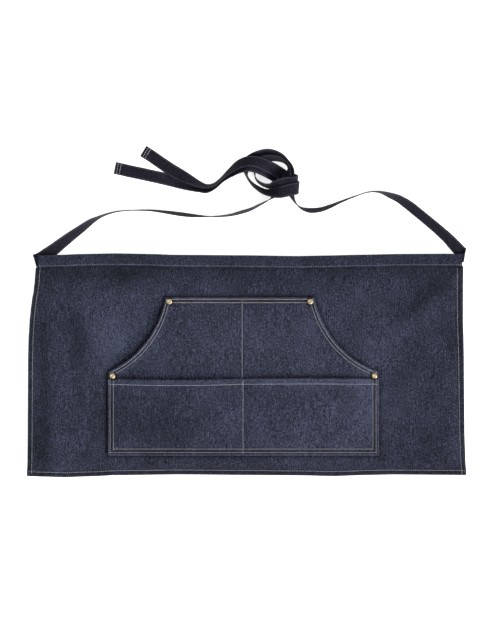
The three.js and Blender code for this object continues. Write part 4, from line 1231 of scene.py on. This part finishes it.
def shaded(tree, code, share, value, low, high):
    """A colour, from a share of its brightness where a value is low to all of it where it is high."""
    ramp = add_node(tree, "ShaderNodeValToRGB", {"Fac": value})
    first, last = ramp.color_ramp.elements
    first.position, last.position = low, high
    first.color = [part * share for part in linear(code)[:3]] + [1.0]
    last.color = linear(code)
    return ramp.outputs["Color"]


def denim(name, dark, light, nap=0.12, mapped=False):
    """Woven cotton denim, washed: indigo warp over a pale weft, so it looks mottled with slubby streaks,
    quite matt, with a faint nap, and paler where a seam or fold has rubbed. Its point attribute also
    brings painted shade beside the pockets, under the band and round the rivets, and painted light and
    shade on the folds."""
    material, tree = new_material(name)
    if not tree:
        return material
    if mapped:
        spot = add_node(tree, "ShaderNodeUVMap", uv_map="cloth").outputs["UV"]
    else:
        spot = add_node(tree, "ShaderNodeTexCoord").outputs["Object"]

    def stretched(turn, size_x, size_y):
        return add_node(tree, "ShaderNodeMapping", {
            "Vector": spot, "Rotation": (0, 0, math.radians(turn)),
            "Scale": (1 / size_x, 1 / size_y, 1 / size_x)}).outputs["Vector"]

    def grain(size_x, size_y, detail):
        return noise_of(tree, stretched(0, size_x, size_y), 1.0, detail, Roughness=0.6)

    def added(a, b, share):
        return add_node(tree, "ShaderNodeMath", {0: b, 1: share, 2: a},
                        operation="MULTIPLY_ADD").outputs[0]

    wash = grain(70 * MM, 90 * MM, 2)
    # Yarn specks are about 0.5 mm; drawn 1.5 mm by 2.6 mm, so that they show from the photo's distance.
    specks = grain(1.5 * MM, 2.6 * MM, 1)
    # Slubs: thicker warp yarns 1 mm wide and some 15 mm long; drawn 1.5 mm by 14 mm.
    slubs = grain(1.5 * MM, 14 * MM, 0)
    # Twill lines are 0.8 mm apart; drawn 1.5 mm apart.
    twill = add_node(tree, "ShaderNodeTexWave", {
        "Vector": stretched(28, 1.5 * MM, 1.5 * MM), "Scale": WAVE, "Distortion": 0.6, "Detail": 1.0,
        "Detail Scale": 2.0}, bands_direction="X").outputs["Fac"]
    tone = added(added(added(specks, slubs, 0.28), wash, 0.3), twill, 0.12)
    # Real wear and painted shade and light come in through one attribute: darker beside the pockets,
    # under the band and round the rivets, paler where the folds face the light and darker where they fall
    # in shade.
    wear_and_shade = add_node(tree, "ShaderNodeAttribute", attribute_name="wear_and_shade").outputs["Fac"]
    rubbed = add_node(tree, "ShaderNodeMath", {0: wear_and_shade, 1: specks}, operation="MULTIPLY").outputs[0]
    spread = add_node(tree, "ShaderNodeMapRange", {
        "Value": added(tone, rubbed, 0.5), "From Min": 0.66, "From Max": 1.09}).outputs["Result"]
    ramp = add_node(tree, "ShaderNodeValToRGB", {"Fac": spread})
    ramp.color_ramp.elements[0].color = linear(dark)
    ramp.color_ramp.elements[1].color = linear(light)
    # Between them the indigo prevails, and only the palest weft stands out.
    indigo = ramp.color_ramp.elements.new(0.62)
    indigo.color = [lerp(a, b, 0.42) for a, b in zip(linear(dark), linear(light))]
    height = added(added(specks, twill, 0.5), slubs, 0.8)
    finish_material(tree, {
        "Base Color": ramp.outputs["Color"], "Roughness": 0.93, "Specular IOR Level": 0.18,
        "Sheen Weight": nap, "Sheen Roughness": 0.45, "Normal": bumped(tree, height, 0.55, 0.5 * MM)})
    return material


def sewing_thread(name, code):
    """Spun polyester thread: small bright bars, softly shiny, each a little lighter or darker."""
    material, tree = new_material(name)
    if not tree:
        return material
    spot = add_node(tree, "ShaderNodeTexCoord").outputs["Object"]
    dye = noise_of(tree, spot, 1 / (4 * MM), 2.0)
    # Plies are 0.2 mm apart; drawn 0.5 mm apart.
    plies = add_node(tree, "ShaderNodeTexWave", {"Vector": spot, "Scale": WAVE / (0.5 * MM)},
                     bands_direction="DIAGONAL").outputs["Fac"]
    finish_material(tree, {
        "Base Color": shaded(tree, code, 0.5, dye, 0.3, 0.65), "Roughness": 0.55, "Sheen Weight": 0.2,
        "Normal": bumped(tree, plies, 0.4, 0.1 * MM)})
    return material


def stamped_brass(name, code):
    """Stamped and tumbled brass: warm, half-bright metal with darker tarnish in patches."""
    material, tree = new_material(name)
    if not tree:
        return material
    spot = add_node(tree, "ShaderNodeTexCoord").outputs["Object"]
    tarnish = noise_of(tree, spot, 1 / (2.5 * MM), 4.0)
    rough = add_node(tree, "ShaderNodeMapRange", {
        "Value": tarnish, "From Min": 0.3, "From Max": 0.7, "To Min": 0.6, "To Max": 0.42})
    scratches = noise_of(tree, spot, 1 / (0.4 * MM), 3.0)
    finish_material(tree, {
        "Base Color": shaded(tree, code, 0.45, tarnish, 0.32, 0.55), "Metallic": 1.0,
        "Roughness": rough.outputs["Result"], "Normal": bumped(tree, scratches, 0.25, 0.05 * MM)})
    return material


# Operators
class MakesPieces:
    """Shared by the operators that make pieces from the scene's settings."""

    def execute(self, context):
        self.make(Apron(context), context.scene.apron_colours)
        return {"FINISHED"}


def skirt_denim(colours):
    return denim("woven_skirt_denim", colours.denim_dark, colours.denim_light)


class APRON_OT_skirt(MakesPieces, bpy.types.Operator):
    """Makes the skirt with its hems turned under"""

    bl_idname = "apron.skirt"
    bl_label = "Skirt"

    def make(self, apron, colours):
        make_skirt(apron, skirt_denim(colours))


class APRON_OT_waistband(MakesPieces, bpy.types.Operator):
    """Makes the waistband folded over the skirt's upper edge"""

    bl_idname = "apron.waistband"
    bl_label = "Waistband"

    def make(self, apron, colours):
        make_band(apron, skirt_denim(colours))


class APRON_OT_pockets(MakesPieces, bpy.types.Operator):
    """Makes the hand pocket and the wide pocket on it"""

    bl_idname = "apron.pockets"
    bl_label = "Pockets"

    def make(self, apron, colours):
        cloth = denim("woven_pocket_denim", colours.pocket_dark, colours.pocket_light)
        make_upper_pocket(apron, cloth)
        make_lower_pocket(apron, cloth)


class APRON_OT_ties(MakesPieces, bpy.types.Operator):
    """Makes both knotted ties with their edge rows"""

    bl_idname = "apron.ties"
    bl_label = "Ties"

    def make(self, apron, colours):
        cloth = denim("woven_tie_denim", colours.tie_dark, colours.tie_light, nap=0.04, mapped=True)
        grey = sewing_thread("grey_thread", colours.thread_grey)
        dark = sewing_thread("dark_thread", colours.thread_dark)
        for right, name in enumerate(("tie_left", "tie_right")):
            strap = make_tie(apron, right, cloth)
            sew(apron, name + "_edge_rows", tie_edge_paths(apron, *strap), dark)
            sew(apron, name + "_end_rows", tie_end_paths(apron, *strap), grey)


class APRON_OT_rivets(MakesPieces, bpy.types.Operator):
    """Makes one rivet and sets a copy at each corner of the pockets' mouths"""

    bl_idname = "apron.rivets"
    bl_label = "Rivets"

    def make(self, apron, colours):
        brass = stamped_brass("stamped_brass", colours.brass)
        first = rivet_shape(apron.trim)
        for name, (x, y) in apron.rivets.items():
            mesh = first.data.copy()
            face = apron.upper_face(x, y)
            under = apron.panel(x, y) - apron.wall / 2
            for vertex in mesh.vertices:
                if vertex.co.z < -0.5 * MM:
                    vertex.co.z += under - face + BURR_DEPTH - BURR_WALL / 2
                vertex.co += Vector((x, y, face)) + apron.shift
            piece = bpy.data.objects.new(name + "_brass", mesh)
            bpy.context.scene.collection.objects.link(piece)
            mesh.materials.clear()
            mesh.materials.append(brass)
            select_only(piece)
            bpy.ops.object.shade_smooth_by_angle(angle=math.radians(40))
            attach(piece, "root")
            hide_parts(name)
        remove(first)


class APRON_OT_seams(MakesPieces, bpy.types.Operator):
    """Sews the rows of the hems, the waistband and the pockets"""

    bl_idname = "apron.seams"
    bl_label = "Seams"

    def make(self, apron, colours):
        grey = sewing_thread("grey_thread", colours.thread_grey)
        tan = sewing_thread("tan_thread", colours.thread_tan)
        teal = sewing_thread("blue_grey_thread", colours.thread_teal)
        sand = sewing_thread("sand_thread", colours.thread_sand)
        sew(apron, "hem_rows", hem_paths(apron), sand)
        sew(apron, "waist_row", waist_paths(apron), teal)
        for name, paths, thread in (("pocket_top_rows", pocket_top_paths, tan),
                                    ("mouth_rows", mouth_paths, grey),
                                    ("pocket_side_rows", pocket_side_paths, sand),
                                    ("pocket_centre_rows", pocket_plain_paths, grey)):
            sew(apron, name, paths(apron), thread)


class APRON_OT_stage(bpy.types.Operator):
    """Makes the floor, the light and the camera straight above the apron"""

    bl_idname = "apron.stage"
    bl_label = "Floor, light and camera"

    def execute(self, context):
        scene = context.scene
        deselect_all()
        bpy.ops.mesh.primitive_plane_add(size=12, location=(0, 0, -0.5 * MM))
        floor = context.object
        floor.name = "floor"
        material, tree = new_material("white_paper")
        if tree:
            finish_material(tree, {"Base Color": linear("#f4f4f4"), "Roughness": 0.9,
                                   "Emission Color": (1, 1, 1, 1), "Emission Strength": 0.7})
        floor.data.materials.append(material)
        world = bpy.data.worlds.new("soft_white")
        world.use_nodes = True
        sky = world.node_tree.nodes["Background"].inputs
        sky["Color"].default_value, sky["Strength"].default_value = (1, 1, 1, 1), 0.5
        scene.world = world
        for name, place, spread, strength in LAMPS:
            lamp = bpy.data.lights.new(name, "SUN")
            lamp.angle, lamp.energy = math.radians(spread), strength
            holder = bpy.data.objects.new(name, lamp)
            holder.location = place
            holder.rotation_euler = (-Vector(place)).to_track_quat("-Z", "Y").to_euler()
            scene.collection.objects.link(holder)
        lens = bpy.data.cameras.new("camera")
        lens.lens, lens.sensor_width, lens.clip_end = CAMERA_LENS
        camera = bpy.data.objects.new("camera", lens)
        camera.location = CAMERA_PLACE
        scene.collection.objects.link(camera)
        scene.camera = camera
        scene.view_settings.view_transform = "Standard"
        return {"FINISHED"}


OPERATORS = [APRON_OT_stage, APRON_OT_skirt, APRON_OT_waistband, APRON_OT_pockets, APRON_OT_ties,
             APRON_OT_rivets, APRON_OT_seams]


class APRON_PT_panel(bpy.types.Panel):
    """Sizes, colours and pieces of the apron"""

    bl_idname = "APRON_PT_panel"
    bl_label = "Denim waist apron"
    bl_space_type = "VIEW_3D"
    bl_region_type = "UI"
    bl_category = "Apron"

    def draw(self, context):
        column = self.layout.column()
        for name in SETTINGS:
            settings = getattr(context.scene, name)
            for key in settings.bl_rna.properties.keys():
                if key not in ("rna_type", "name"):
                    column.prop(settings, key)
        for operator in OPERATORS:
            column.operator(operator.bl_idname)


CLASSES = list(SETTINGS.values()) + OPERATORS + [APRON_PT_panel]


def register():
    for kind in CLASSES:
        bpy.utils.register_class(kind)
    for name, kind in SETTINGS.items():
        setattr(bpy.types.Scene, name, bpy.props.PointerProperty(type=kind))


def unregister():
    for name in SETTINGS:
        delattr(bpy.types.Scene, name)
    for kind in reversed(CLASSES):
        bpy.utils.unregister_class(kind)


def main():
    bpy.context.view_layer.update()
    register()
    bpy.ops.apron.stage()
    bpy.ops.apron.skirt()
    bpy.ops.apron.waistband()
    bpy.ops.apron.pockets()
    bpy.ops.apron.ties()
    bpy.ops.apron.rivets()
    bpy.ops.apron.seams()
    bpy.context.view_layer.update()


if __name__ == "__main__":
    main()
